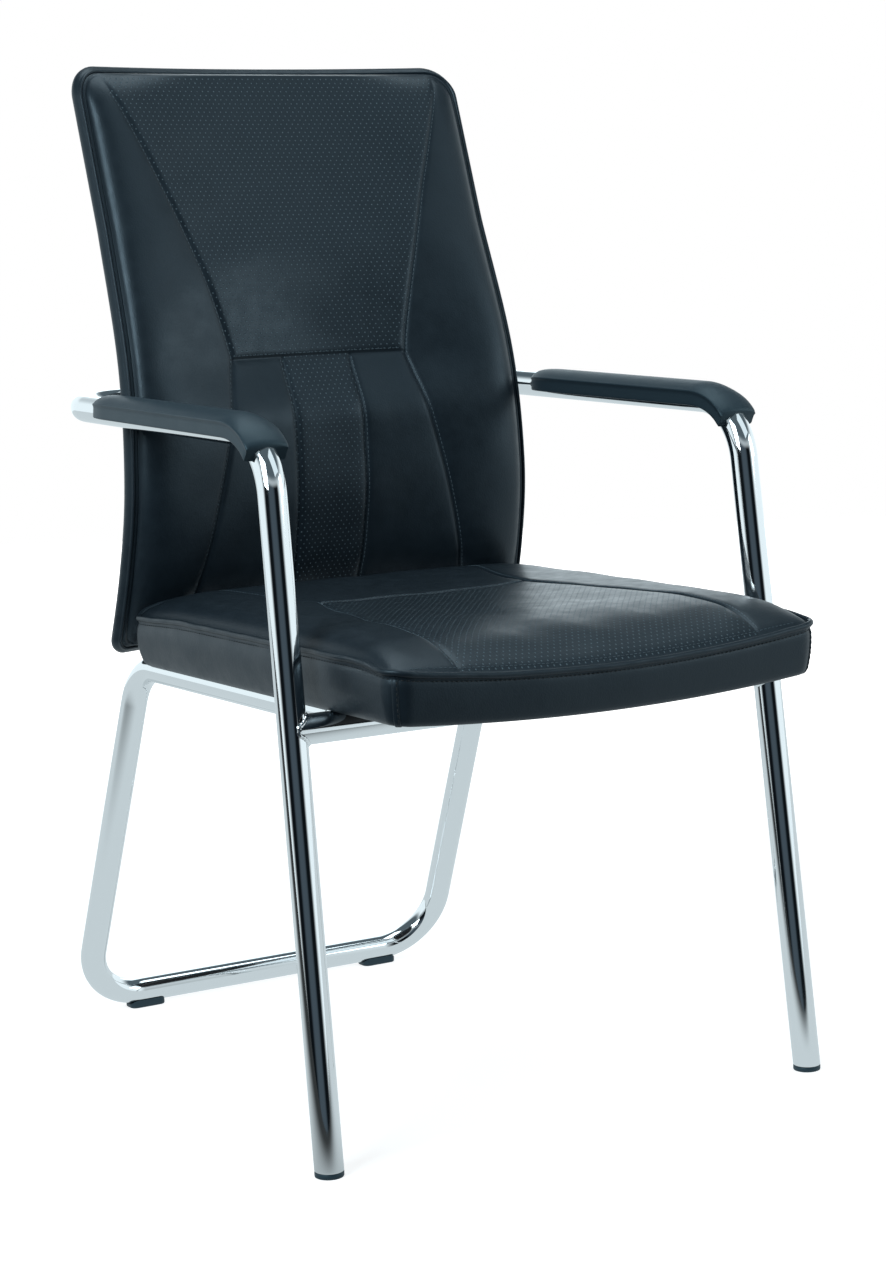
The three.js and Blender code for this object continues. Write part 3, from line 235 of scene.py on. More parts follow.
@dataclass(frozen=True)
class BondedLeather:
    """Bonded leather, a hide backing with a rolled skin: black, satin, with a shallow pebble.

    The perforated panels have rows of small punched holes, every other row shifted by half a
    pitch. Pitch and row spacing are the real ones, and the holes are drawn a little wider than
    the real 1 mm so that they show. The holes are painted a paler grey than the leather: a
    painted highlight standing in for light caught on their rims.
    """

    name: str = "bonded_leather"
    colour: str = "#1d262d"
    shade: str = "#161d23"
    tint: str = "#bbd0dd"
    roughness: tuple[float, float] = (0.35, 0.44)
    mottle_range: tuple[float, float] = (0.3, 0.7)
    pebble_mm: float = 1.5
    pebble_depth_mm: float = 0.4
    pebble_strength: float = 0.16
    crease_mm: float = 14.0
    crease_depth_mm: float = 2.0
    crease_strength: float = 0.10
    surface: Surface = Surface.PLAIN
    pitch_mm: float = 6.2
    row_mm: float = 4.0
    hole_mm: float = 1.25
    hole_edge: tuple[float, float] = (0.6, 1.3)
    hole_depth_mm: float = 0.9
    hole_strength: float = 0.8
    hole_roughness: float = 0.95
    # Painted highlight: the pale grey of the holes stands in for light caught on their rims.
    hole_painted_highlight: str = "#607078"

    def material(self) -> Material:
        """The leather's colour, grain and gloss, with holes where it is perforated.

        Returns:
            The material.
        """
        material, tree, place = new_material(self.name)
        pebbles = {"Vector": place, "Scale": scale_of(self.pebble_mm), "Smoothness": 0.6}
        pebble = add_node(tree, "TexVoronoi", pebbles, feature="SMOOTH_F1")
        clouds = {"Scale": scale_of(self.crease_mm), "Detail": 4.0, "Roughness": 0.55}
        mottle = add_node(tree, "TexNoise", {"Vector": place, **clouds})
        colours = {"Factor": mottle, 6: linear(self.shade), 7: linear(self.colour)}
        colour = add_node(tree, "Mix", colours, data_type="RGBA")
        gloss = add_node(
            tree,
            "MapRange",
            {
                "Value": mottle,
                "From Min": self.mottle_range[0],
                "From Max": self.mottle_range[1],
                "To Min": self.roughness[0],
                "To Max": self.roughness[1],
            },
        )
        depth = self.pebble_depth_mm * METRES_PER_MM
        relief = {"Height": pebble, "Strength": self.pebble_strength, "Distance": depth}
        grain = add_node(tree, "Bump", relief)
        depth = self.crease_depth_mm * METRES_PER_MM
        relief = {"Height": mottle, "Strength": self.crease_strength, "Distance": depth}
        soft = add_node(tree, "Bump", {**relief, "Normal": grain})
        inputs = {
            "Base Color": (colour, 2),
            "Roughness": gloss,
            "IOR": PLASTIC_IOR,
            "Specular Tint": linear(self.tint),
            "Normal": soft,
        }
        if self.surface is Surface.PERFORATED:
            hole = self.holes(tree)
            # Painted highlight: the holes are coloured paler than the leather, for light caught on
            # their rims.
            colours = {"Factor": hole, 6: (colour, 2), 7: linear(self.hole_painted_highlight)}
            inputs["Base Color"] = (add_node(tree, "Mix", colours, data_type="RGBA"), 2)
            depth = self.hole_depth_mm * METRES_PER_MM
            relief = {"Height": hole, "Strength": self.hole_strength, "Distance": depth}
            inputs["Normal"] = add_node(tree, "Bump", {**relief, "Normal": soft}, invert=True)
            dulling = {"Factor": hole, 2: gloss, 3: self.hole_roughness}
            inputs["Roughness"] = add_node(tree, "Mix", dulling, data_type="FLOAT")
        return finish_tree(tree, inputs, material)

    def holes(self, tree: NodeTree) -> Node:
        """The pattern of punched holes on the panel's flat coordinates.

        Args:
            tree: The node tree of the material.

        Returns:
            The node whose Result is 1 in a hole and 0 between the holes.
        """
        flat = add_node(tree, "UVMap", uv_map=MeshDraft.FLAT)
        cell_size = (self.pitch_mm, 2 * self.row_mm, 0.0)
        per_metre = (1000 / self.pitch_mm, 500 / self.row_mm, 0.0)
        scaled = add_node(tree, "VectorMath", {0: flat, 1: per_metre}, operation="MULTIPLY")
        distances = []
        for shift in (0.0, 0.5):
            place = scaled
            for operation, value in (
                ("ADD", (shift, shift, 0.0)),
                ("FRACTION", (0.0, 0.0, 0.0)),
                ("SUBTRACT", (0.5, 0.5, 0.0)),
                ("MULTIPLY", cell_size),
            ):
                place = add_node(tree, "VectorMath", {0: place, 1: value}, operation=operation)
            length = add_node(tree, "VectorMath", {0: place}, operation="LENGTH")
            distances.append((length, "Value"))
        nearest = add_node(tree, "Math", dict(enumerate(distances)), operation="MINIMUM")
        return add_node(
            tree,
            "MapRange",
            {
                "Value": nearest,
                "From Min": self.hole_mm / 2 * self.hole_edge[0],
                "From Max": self.hole_mm / 2 * self.hole_edge[1],
                "To Min": 1.0,
                "To Max": 0.0,
            },
            interpolation_type="SMOOTHSTEP",
        )


@dataclass(frozen=True)
class PolyesterThread:
    """Bonded polyester sewing thread, twisted: a dull line."""

    name: str = "polyester_thread_grey"
    colour: str = "#4d5d66"
    roughness: float = 0.6
    twist_mm: float = 0.8
    twist_depth_mm: float = 0.2
    twist_strength: float = 0.4

    def material(self) -> Material:
        """The thread's colour with the ridges of its twist.

        Returns:
            The material.
        """
        material, tree, place = new_material(self.name)
        waves = {"Vector": place, "Scale": scale_of(self.twist_mm) / WAVE_FACTOR}
        twist = add_node(tree, "TexWave", waves, bands_direction="DIAGONAL")
        depth = self.twist_depth_mm * METRES_PER_MM
        relief = {"Height": (twist, "Fac"), "Strength": self.twist_strength, "Distance": depth}
        ridge = add_node(tree, "Bump", relief)
        inputs = {"Roughness": self.roughness, "Normal": ridge}
        return finish_tree(tree, {"Base Color": linear(self.colour), **inputs}, material)


@dataclass(frozen=True)
class MouldedPolyurethane:
    """Self-skinned polyurethane, moulded: black, semi-matt, with a spark-eroded grain.

    The real grain is about 0.3 mm, too fine to show, so it is drawn at twice that.
    """

    name: str = "moulded_polyurethane"
    colour: str = "#26323a"
    tint: str = "#b8dce8"
    roughness: tuple[float, float] = (0.43, 0.53)
    grain_mm: float = 0.6
    grain_depth_mm: float = 0.2
    grain_strength: float = 0.25
    cloud_mm: float = 25.0

    def material(self) -> Material:
        """The moulded skin's colour, with its fine grain.

        Returns:
            The material.
        """
        material, tree, place = new_material(self.name)
        scale = scale_of(self.grain_mm)
        grain = add_node(tree, "TexNoise", {"Vector": place, "Scale": scale, "Detail": 3.0})
        scale = scale_of(self.cloud_mm)
        cloud = add_node(tree, "TexNoise", {"Vector": place, "Scale": scale, "Detail": 2.0})
        low, high = self.roughness
        gloss = add_node(tree, "MapRange", {"Value": cloud, "To Min": low, "To Max": high})
        depth = self.grain_depth_mm * METRES_PER_MM
        relief = {"Height": grain, "Strength": self.grain_strength, "Distance": depth}
        inputs = {
            "Base Color": linear(self.colour),
            "Roughness": gloss,
            "IOR": PLASTIC_IOR,
            "Specular Tint": linear(self.tint),
            "Normal": add_node(tree, "Bump", relief),
        }
        return finish_tree(tree, inputs, material)


@dataclass(frozen=True)
class PowderCoat:
    """Black polyester powder on steel, baked: an even satin with a slight orange peel."""

    name: str = "powder_coat"
    colour: str = "#1b1d1f"
    roughness: float = 0.38
    peel_mm: float = 1.8
    peel_depth_mm: float = 0.3
    peel_strength: float = 0.3

    def material(self) -> Material:
        """The coat's colour and its orange peel.

        Returns:
            The material.
        """
        material, tree, place = new_material(self.name)
        peel = add_node(tree, "TexNoise", {"Vector": place, "Scale": scale_of(self.peel_mm)})
        depth = self.peel_depth_mm * METRES_PER_MM
        relief = {"Height": peel, "Strength": self.peel_strength, "Distance": depth}
        bump = add_node(tree, "Bump", relief)
        inputs = {"Roughness": self.roughness, "IOR": PLASTIC_IOR, "Normal": bump}
        return finish_tree(tree, {"Base Color": linear(self.colour), **inputs}, material)


@dataclass(frozen=True)
class ZincPlate:
    """Zinc-plated steel of bolts, passivated: a grey metal, softly mottled."""

    name: str = "zinc_plate"
    colour: str = "#a9adb0"
    roughness: tuple[float, float] = (0.24, 0.44)
    mottle_mm: float = 2.5

    def material(self) -> Material:
        """The plating with its mottled gloss.

        Returns:
            The material.
        """
        material, tree, place = new_material(self.name)
        mottle = add_node(tree, "TexNoise", {"Vector": place, "Scale": scale_of(self.mottle_mm)})
        low, high = self.roughness
        gloss = add_node(tree, "MapRange", {"Value": mottle, "To Min": low, "To Max": high})
        inputs = {"Base Color": linear(self.colour), "Metallic": 1.0, "Roughness": gloss}
        return finish_tree(tree, inputs, material)


@dataclass(frozen=True)
class BeechPlywood:
    """Beech plywood, pressed and sanded: pale brown, with grain drawn out along the board."""

    name: str = "beech_plywood"
    light: str = "#c39c6d"
    dark: str = "#9a7449"
    roughness: float = 0.62
    grain_mm: float = 3.0
    stretch: float = 0.06

    def material(self) -> Material:
        """The veneer's colours and its long grain.

        Returns:
            The material.
        """
        material, tree, place = new_material(self.name)
        drawn_out = add_node(tree, "Mapping", {"Vector": place, "Scale": (1.0, self.stretch, 1.0)})
        scale = scale_of(self.grain_mm)
        grain = add_node(tree, "TexNoise", {"Vector": drawn_out, "Scale": scale, "Detail": 5.0})
        colours = {"Factor": grain, 6: linear(self.dark), 7: linear(self.light)}
        colour = add_node(tree, "Mix", colours, data_type="RGBA")
        inputs = {"Base Color": (colour, 2), "Roughness": self.roughness}
        return finish_tree(tree, inputs, material)


@dataclass(frozen=True)
class SpunbondPolypropylene:
    """Spunbonded polypropylene, the black non-woven cover under a seat: dead matt, dimpled."""

    name: str = "spunbond_polypropylene"
    colour: str = "#17181a"
    roughness: float = 0.92
    bond_mm: float = 1.4
    bond_depth_mm: float = 0.3
    bond_strength: float = 0.5

    def material(self) -> Material:
        """The cover with the dimples of its bond points.

        Returns:
            The material.
        """
        material, tree, place = new_material(self.name)
        bonds = add_node(tree, "TexVoronoi", {"Vector": place, "Scale": scale_of(self.bond_mm)})
        depth = self.bond_depth_mm * METRES_PER_MM
        relief = {"Height": bonds, "Strength": self.bond_strength, "Distance": depth}
        inputs = {"Roughness": self.roughness, "Normal": add_node(tree, "Bump", relief)}
        return finish_tree(tree, {"Base Color": linear(self.colour), **inputs}, material)


# Meshes


def smooth_step(share: Array | float) -> Array | float:
    """Eases a share from 0 to 1 with flat ends."""
    held = np.clip(share, 0.0, 1.0)
    return held * held * (3 - 2 * held)


def blend(low: Any, high: Any, share: Any) -> Any:
    """The value at a share of the way from low to high."""
    return low + (high - low) * share


def rise(distance: Array, length: float) -> Array:
    """How far padding has risen at a distance in from its edge, as a share."""
    return 1 - np.exp(-np.maximum(distance, 0.0) / length)


def groove(distance: Array, width: float) -> Array:
    """How deep a sewn groove is at a distance from its seam, as a share."""
    return np.exp(-((np.abs(distance) / width) ** 1.4))


def noise_field(points: Array, scale_mm: float, seed: int) -> Array:
    """Soft irregular values from -1 to 1 at points, the same on each run.

    Args:
        points: Points as rows of millimetres.
        scale_mm: Size of one bump.
        seed: Number that picks one of many such fields.

    Returns:
        One value for each point.
    """
    waves = np.random.default_rng(seed)
    total = np.zeros(len(points))
    for _ in range(9):
        way = waves.normal(size=3)
        way *= 2 * math.pi / (scale_mm * waves.uniform(0.7, 1.6) * np.linalg.norm(way))
        total += np.sin(points @ way + waves.uniform(0, 2 * math.pi))
    return total / 4.5


class MeshDraft:
    """One piece in drawn millimetres, before it becomes a Blender mesh."""

    FLAT = "flat_mm"

    def __init__(self) -> None:
        """Starts with no vertices and no faces."""
        self.points: list[Array] = []
        self.flats: list[Array] = []
        self.faces: list[tuple[int, ...]] = []
        self.patches: list[int] = []
        self.count = 0

    def add_points(self, points: Array, flats: Array | None = None) -> Array:
        """Adds vertices.

        Args:
            points: Rows of x, setback and height in millimetres.
            flats: Flat coordinates of each vertex in millimetres, for patterns.

        Returns:
            The numbers of the new vertices.
        """
        points = np.asarray(points, float).reshape(-1, 3)
        flats = np.zeros((len(points), 2)) if flats is None else np.asarray(flats).reshape(-1, 2)
        self.points.append(points)
        self.flats.append(flats)
        first = self.count
        self.count += len(points)
        return np.arange(first, self.count)

    def join_rows(self, numbers: Array, closed: bool = True, patches: Array | int = 0) -> None:
        """Adds quads between neighbouring rows of vertices.

        Args:
            numbers: Vertex numbers by row and column.
            closed: Whether each row closes into a ring.
            patches: Number of the finish of every face, or of each by row and column.
        """
        ahead = np.roll(numbers, -1, 1)
        quads = np.stack([numbers[:-1], ahead[:-1], ahead[1:], numbers[1:]], 2)
        quads = quads if closed else quads[:, :-1]
        self.faces += [tuple(quad) for quad in quads.reshape(-1, 4).tolist()]
        self.patches += np.broadcast_to(patches, quads.shape[:2]).ravel().tolist()

    def add_rings(self, rings: Array, capped: bool = False) -> None:
        """Adds a body of closed rings.

        Args:
            rings: Points by ring and place round the ring.
            capped: Whether a flat face closes each end.
        """
        numbers = self.add_points(rings).reshape(rings.shape[:2])
        self.join_rows(numbers)
        if capped:
            self.faces += [tuple(numbers[end].tolist()) for end in (0, -1)]
            self.patches += [0, 0]

    def add_hoop(self, rings: Array) -> None:
        """Adds a body of closed rings whose last one leads back to the first.

        Args:
            rings: Points by ring and place round the ring.
        """
        numbers = self.add_points(rings).reshape(rings.shape[:2])
        self.join_rows(np.vstack([numbers, numbers[:1]]))

    def add_sheet(
        self, points: Array, flats: Array | None = None, patches: Array | int = 0
    ) -> tuple[Array, Array]:
        """Adds an open sheet of quads as the first part of the piece.

        Args:
            points: Points by row and column.
            flats: Flat coordinates by row and column, for patterns.
            patches: Number of the finish of every face, or of each by row and column.

        Returns:
            The numbers of the vertices round the sheet's edge, each one once, and their points.
        """
        numbers = self.add_points(points, flats).reshape(points.shape[:2])
        self.join_rows(numbers, False, patches)
        parts = [numbers[0, :], numbers[1:, -1], numbers[-1, -2::-1], numbers[-2:0:-1, 0]]
        edge = np.concatenate(parts)
        return edge, points.reshape(-1, 3)[edge]

    def add_skirt(self, edge: Array, rings: Array) -> None:
        """Carries a sheet on from its edge.

        Args:
            edge: The numbers of the vertices round the sheet.
            rings: Points by ring and place round the sheet.
        """
        numbers = self.add_points(rings).reshape(len(rings), len(edge))
        self.join_rows(np.vstack([edge, numbers]))

    def build(
        self,
        name: str,
        drawing: Drawing,
        finishes: Sequence[Material],
        sharp_degrees: float = 40.0,
    ) -> Object:
        """Makes the Blender object and lets it ride on the chair.

        Args:
            name: The name of the piece.
            drawing: Turns millimetres into metres.
            finishes: The materials, in the order of the patch numbers.
            sharp_degrees: Edges that turn more than this look sharp.

        Returns:
            The new object.
        """
        mesh = bpy.data.meshes.new(name)
        points = drawing.metres(np.concatenate(self.points))
        mesh.from_pydata(points.tolist(), [], self.faces)
        mesh.polygons.foreach_set("material_index", self.patches)
        flats = np.concatenate(self.flats) * METRES_PER_MM
        loops = np.zeros(len(mesh.loops), np.int32)
        mesh.loops.foreach_get("vertex_index", loops)
        layer = mesh.uv_layers.new(name=self.FLAT)
        layer.data.foreach_set("uv", flats[loops].astype(np.float32).ravel())
        for finish in finishes:
            mesh.materials.append(finish)
        mesh.validate()
        outward(mesh)
        mesh.polygons.foreach_set("use_smooth", [True] * len(mesh.polygons))
        mesh.set_sharp_from_angle(angle=math.radians(sharp_degrees))
        piece = bpy.data.objects.new(name, mesh)
        bpy.context.scene.collection.objects.link(piece)
        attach(piece, "root")
        LOG.info("built %s", name)
        return piece


def outward(mesh: Mesh) -> None:
    """Turns every face of a mesh the same way, outward where it is closed.

    Args:
        mesh: The mesh, changed in place.
    """
    editable = bmesh.new()
    editable.from_mesh(mesh)
    bmesh.ops.recalc_face_normals(editable, faces=editable.faces)
    editable.to_mesh(mesh)
    editable.free()


@dataclass(frozen=True)
class Route:
    """A line through space with its direction at each point."""

    points: Array
    tangents: Array

    @classmethod
    def bent(cls, corners: Sequence[Sequence[float]], radius: float, steps: int = 44) -> "Route":
        """Straight lengths joined by arcs.

        Args:
            corners: The corner points, where the straight lengths would meet.
            radius: Radius of each bend.
            steps: Number of steps round each bend.

        Returns:
            The route, with points only at its ends and round its bends.
        """
        knots = np.asarray(corners, float)
        first = unit(knots[1] - knots[0])
        points, tangents = [knots[0]], [first]
        for before, corner, after in zip(knots[:-2], knots[1:-1], knots[2:]):
            incoming, outgoing = unit(corner - before), unit(after - corner)
            turn = math.acos(float(np.clip(incoming @ outgoing, -1, 1)))
            inward = unit(outgoing - incoming * float(incoming @ outgoing))
            start = corner - incoming * radius * math.tan(turn / 2)
            centre = start + inward * radius
            for k in range(steps + 1):
                angle = turn * k / steps
                points.append(
                    centre - inward * radius * math.cos(angle) + incoming * radius * math.sin(angle)
                )
                tangents.append(incoming * math.cos(angle) + inward * math.sin(angle))
        points.append(knots[-1])
        tangents.append(unit(knots[-1] - knots[-2]))
        return cls(np.array(points), np.array(tangents))

    @classmethod
    def through(cls, points: Array, closed: bool = False) -> "Route":
        """A route through given points.

        Args:
            points: Points in order.
            closed: Whether the last point leads back to the first.

        Returns:
            The route.
        """
        points = np.asarray(points, float)
        if closed:
            steps = np.roll(points, -1, 0) - np.roll(points, 1, 0)
        else:
            steps = np.gradient(points, axis=0)
        lengths = np.maximum(np.linalg.norm(steps, axis=1, keepdims=True), 1e-9)
        return cls(points, steps / lengths)

    def frames(self, up: Array | Sequence[float] | None = None) -> tuple[Array, Array]:
        """Two directions across the route at each point.

        Args:
            up: A direction that the second one keeps to, one for all points or one for each;
                without it the frame doesn't twist.

        Returns:
            The sideways and the upward direction at each point.
        """
        if up is not None:
            sideways = unit_rows(np.cross(self.tangents, np.asarray(up, float)))
            return sideways, np.cross(sideways, self.tangents)
        start = np.eye(3)[int(np.argmin(np.abs(self.tangents[0])))]
        upward = [unit(start - self.tangents[0] * float(start @ self.tangents[0]))]
        for tangent in self.tangents[1:]:
            last = upward[-1]
            upward.append(unit(last - tangent * float(last @ tangent)))
        rows = np.array(upward)
        return np.cross(self.tangents, rows), rows


def unit(vector: Array) -> Array:
    """A vector of length 1 the same way."""
    return vector / np.linalg.norm(vector)


def unit_rows(vectors: Array) -> Array:
    """Each row scaled to length 1."""
    return vectors / np.maximum(np.linalg.norm(vectors, axis=-1, keepdims=True), 1e-9)


def circle(radius: float, sides: int) -> Array:
    """Points of a circle as rows of two coordinates."""
    angles = np.linspace(0, 2 * math.pi, sides, endpoint=False)
    return np.stack([radius * np.cos(angles), radius * np.sin(angles)], 1)


def swept(
    route: Route,
    section: Array,
    up: Array | Sequence[float] | None = None,
    size: Array | float = 1.0,
) -> Array:
    """Points of a section carried along a route.

    Args:
        route: The route.
        section: Points of the section, sideways and upward.
        up: The direction that the section's second axis keeps to, for all points or for each.
        size: Factor on the section, for all points or for each.

    Returns:
        Points by place on the route and place on the section.
    """
    sideways, upward = route.frames(up)
    across = sideways[:, None] * section[None, :, :1] + upward[:, None] * section[None, :, 1:]
    return route.points[:, None] + np.reshape(size, (-1, 1, 1)) * across


def walked(line: Array) -> Array:
    """How far along a line each of its points lies."""
    return np.concatenate([[0], np.cumsum(np.linalg.norm(np.diff(line, axis=0), axis=1))])


def read_off(places: Array | float, marks: Array, rows: Array) -> Array:
    """Rows of three coordinates, read off at places between increasing marks."""
    return np.stack([np.interp(places, marks, rows[:, i]) for i in range(3)], -1)


def evenly(points: Array, spacing: float, closed: bool = False) -> Array:
    """Points at an even spacing along a line.

    Args:
        points: The line's points.
        spacing: Distance between the new points, met as nearly as the length allows.
        closed: Whether the last point leads back to the first.

    Returns:
        The new points, without the last one where the line is closed.
    """
    line = np.vstack([points, points[:1]]) if closed else np.asarray(points)
    lengths = walked(line)
    count = max(int(round(lengths[-1] / spacing)), 2)
    places = np.linspace(0, lengths[-1], count + 1)
    return read_off(places[:-1] if closed else places, lengths, line)


@dataclass
class Stitching:
    """Rows of stitches, each one a short sunken-ended bar of thread.

    Args:
        length_mm: Length of one stitch.
        gap_mm: Gap from one stitch to the next.
        thread_mm: Thickness of the thread.
        places: Where the rings of a stitch lie, as shares of its length.
        lifts: How far each ring stands off the surface, in thicknesses.
        widths: Width of each ring, as shares of the thickness.
    """

    length_mm: float = 3.0
    gap_mm: float = 1.4
    thread_mm: float = 0.6
    places: tuple[float, ...] = (0.0, 0.12, 0.5, 0.88, 1.0)
    lifts: tuple[float, ...] = (-0.35, 0.1, 0.25, 0.1, -0.35)
    widths: tuple[float, ...] = (0.35, 0.9, 1.0, 0.9, 0.35)
    draft: MeshDraft = field(default_factory=MeshDraft)

    def run(self, line: Array, outward_ways: Array) -> None:
        """Sews along a line.

        Args:
            line: Points of the line on the surface.
            outward_ways: Direction off the surface, for all points or for each.
        """
        lengths = walked(line)
        ways_off = np.broadcast_to(outward_ways, line.shape)
        pitch = self.length_mm + self.gap_mm
        section = circle(self.thread_mm / 2, 6)
        for start in np.arange(0.5 * self.gap_mm, lengths[-1] - self.length_mm, pitch):
            places = start + self.length_mm * np.array(self.places)
            ways = unit_rows(read_off(places, lengths, ways_off))
            lift = np.array(self.lifts)[:, None] * self.thread_mm
            route = Route.through(read_off(places, lengths, line) + ways * lift)
            self.draft.add_rings(swept(route, section, ways, np.array(self.widths)), capped=True)

    def build(self, name: str, drawing: Drawing, thread: Material) -> Object:
        """Makes the object of all stitches sewn so far."""
        return self.draft.build(name, drawing, [thread], SOFT_DEGREES)


def ways_out(rim: Array, normal: Sequence[float], middle: Sequence[float]) -> Array:
    """Directions out of a closed line at its points, across a given normal.

    Args:
        rim: Points of the line.
        normal: Direction that they are level to.
        middle: A point inside the line.

    Returns:
        A direction of length 1 for each point.
    """
    ways = unit_rows(np.cross(np.roll(rim, -1, 0) - np.roll(rim, 1, 0), normal))
    ways[np.sum(ways * (rim - middle), axis=1) < 0] *= -1
    return ways


def perforated_faces(*areas: Array) -> Array:
    """The finish of each face of a sheet whose vertices lie in some areas.

    Args:
        areas: Whether each vertex lies in the area, by row and column.

    Returns:
        Numbers of finishes by row and column: perforated where all four corners lie in one area.
    """
    held = [area[:-1, :-1] & area[:-1, 1:] & area[1:, :-1] & area[1:, 1:] for area in areas]
    return np.where(np.any(held, axis=0), Surface.PERFORATED.value, Surface.PLAIN.value)


def rounded_corner(
    x: Array, y: Array, half_x: Array | float, half_y: float, radius: Array
) -> tuple[Array, Array]:
    """Moves points of a rectangle so that its corners become round.

    Args:
        x: First coordinates, from the middle of the rectangle.
        y: Second coordinates, from the middle of the rectangle.
        half_x: Half the first side.
        half_y: Half the second side.
        radius: Radius of the corners.

    Returns:
        The moved coordinates.
    """
    a = (np.abs(x) - half_x) / radius + 1
    b = (np.abs(y) - half_y) / radius + 1
    inside = (a > 0) & (b > 0)
    a, b = np.where(inside, a, 0.0), np.where(inside, b, 0.0)
    round_x = half_x - radius + radius * a * np.sqrt(1 - b**2 / 2)
    round_y = half_y - radius + radius * b * np.sqrt(1 - a**2 / 2)
    return np.where(inside, np.sign(x) * round_x, x), np.where(inside, np.sign(y) * round_y, y)


def sewn_lines(seam: float) -> list[float]:
    """Grid lines close together on both sides of a seam, from its outer to its inner side."""
    shares = (1.0, 0.62, 0.36, 0.16, 0.0, -0.16, -0.36, -0.62, -1.0)
    return [seam + share * SEAM_REACH for share in shares]


def mirrored(half: Sequence[float]) -> Array:
    """Grid lines from one side to the other, made from those of one half, outermost first."""
    lines = np.asarray(half)
    return np.concatenate([-lines, lines[-2::-1]])


@dataclass
class TubeFrame:
    """The two bent tubes and the cross bar, with their welds, plugs and glides.

    Args:
        drawing: Turns millimetres into metres.
        chrome: Finish of the tubes and the welds.
        plastic: Finish of the plugs and glides.
    """

    drawing: Drawing
    chrome: Material
    plastic: Material
    diameter: float = 25.0
    wall: float = 1.5
    bend_radius: float = 60.0
    bar_diameter: float = 26.0
    foot_spread: float = 504.0
    rim_height: float = 5.0
    shoulder: tuple[float, float, float] = (486.0, 74.0, 612.0)
    arm_rear: tuple[float, float, float] = (478.0, 490.0, 623.0)
    rail: tuple[float, float, float] = (394.0, 438.0, 375.0)
    sled: tuple[float, float] = (406.0, 591.0)
    seat_underside: float = 381.5
    glide_size: tuple[float, float, float] = (38.0, 20.0, 9.0)
    glide_height: float = 4.0
    glide_corner: float = 6.0
    glide_from_centre: float = 137.0
    clearance: float = 0.3
    cope_lap: float = 0.3
    weld_radius: float = 2.1
    weld_step: float = 1.1
    weld_ripple: float = 0.10
    sides: int = 64
    sharp_degrees: float = 50.0

    @property
    def radius(self) -> float:
        """Outer radius of the tubes."""
        return self.diameter / 2

    @property
    def sled_height(self) -> float:
        """Height of the sled bar's centre line."""
        return self.glide_height + self.radius

    @property
    def bar_height(self) -> float:
        """Height of the cross bar's centre line."""
        return self.seat_underside - self.bar_diameter / 2 - self.clearance

    def corner(self, spread_setback_height: tuple[float, float, float], side: int) -> Array:
        """A corner point of a centre line on one side."""
        spread, setback, height = spread_setback_height
        return np.array([side * spread / 2, setback, height])

    @property
    def foot(self) -> tuple[float, float, float]:
        """Spread, setback and height of the front feet."""
        return self.foot_spread, 0.0, self.rim_height

    def both_sides(self, half: Sequence[tuple[float, float, float]]) -> list[Array]:
        """Corners of a tube from its left end to the middle, and back on the right."""
        return [self.corner(c, -1) for c in half] + [self.corner(c, 1) for c in half[::-1]]

    def leg_point(self, side: int, height: float) -> Array:
        """The point of a front leg's centre line at a height."""
        share = (height - self.rim_height) / (self.shoulder[2] - self.rim_height)
        return blend(self.corner(self.foot, side), self.corner(self.shoulder, side), share)

    def build(self) -> None:
        """Makes every piece of the frame."""
        self.build_arm_leg_tube()
        self.build_rear_loop()
        self.build_cross_bar()
        for side in Side:
            self.build_foot_plug(side)
            self.build_glide(side)

    def foot_end(self, point: Array, way: Array) -> Array:
        """Rings of the open, level tube end at a foot, from inside the bore to the outer wall.

        Args:
            point: Where the centre line meets the rim.
            way: Direction up the leg.

        Returns:
            Points by ring and place round the ring.
        """
        inner = self.radius - self.wall
        rings = ((inner, 16.0), (inner, 0.5), (inner + 0.4, 0.0), (self.radius - 0.4, 0.0))
        found = []
        route = Route(np.array([point]), np.array([way]))
        for radius, lift in (*rings, (self.radius, 0.5), (self.radius, 1.2), (self.radius, 5.0)):
            ring = swept(route, circle(radius, self.sides), up=(1, 0, 0))[0]
            slide = (self.rim_height + lift - ring[:, 2]) / way[2]
            found.append(ring + slide[:, None] * way)
        return np.array(found)

    def build_arm_leg_tube(self) -> None:
        """The tube of both front legs, both arms and the run behind the back."""
        corners = self.both_sides([self.foot, self.shoulder, self.arm_rear])
        route = Route.bent(corners, self.bend_radius)
        body = swept(route, circle(self.radius, self.sides))[1:-1]
        left = self.foot_end(corners[0], route.tangents[0])
        right = self.foot_end(corners[-1], -route.tangents[-1])[::-1]
        left, right = self.turned_to(left, body[0]), self.turned_to(right, body[-1])
        draft = MeshDraft()
        draft.add_rings(np.concatenate([left, body, right]))
        piece = draft.build("frame_arm_leg_tube", self.drawing, [self.chrome], self.sharp_degrees)
        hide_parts("arm_leg_tube")

    def turned_to(self, rings: Array, target: Array) -> Array:
        """Renumbers the places round some rings so that they line up with a target ring.

        Args:
            rings: Points by ring and place.
            target: Points of the ring to line up with.

        Returns:
            The same rings, started at the best place and run the best way.
        """
        best, found = math.inf, rings
        centre, middle = target.mean(0), rings[0].mean(0)
        for run in (rings, rings[:, ::-1]):
            for start in range(self.sides):
                turned = np.roll(run, start, axis=1)
                ways, wanted = turned[0] - middle, target - centre
                miss = float(np.sum((unit_rows(ways) - unit_rows(wanted)) ** 2))
                if miss < best:
                    best, found = miss, turned
        return found

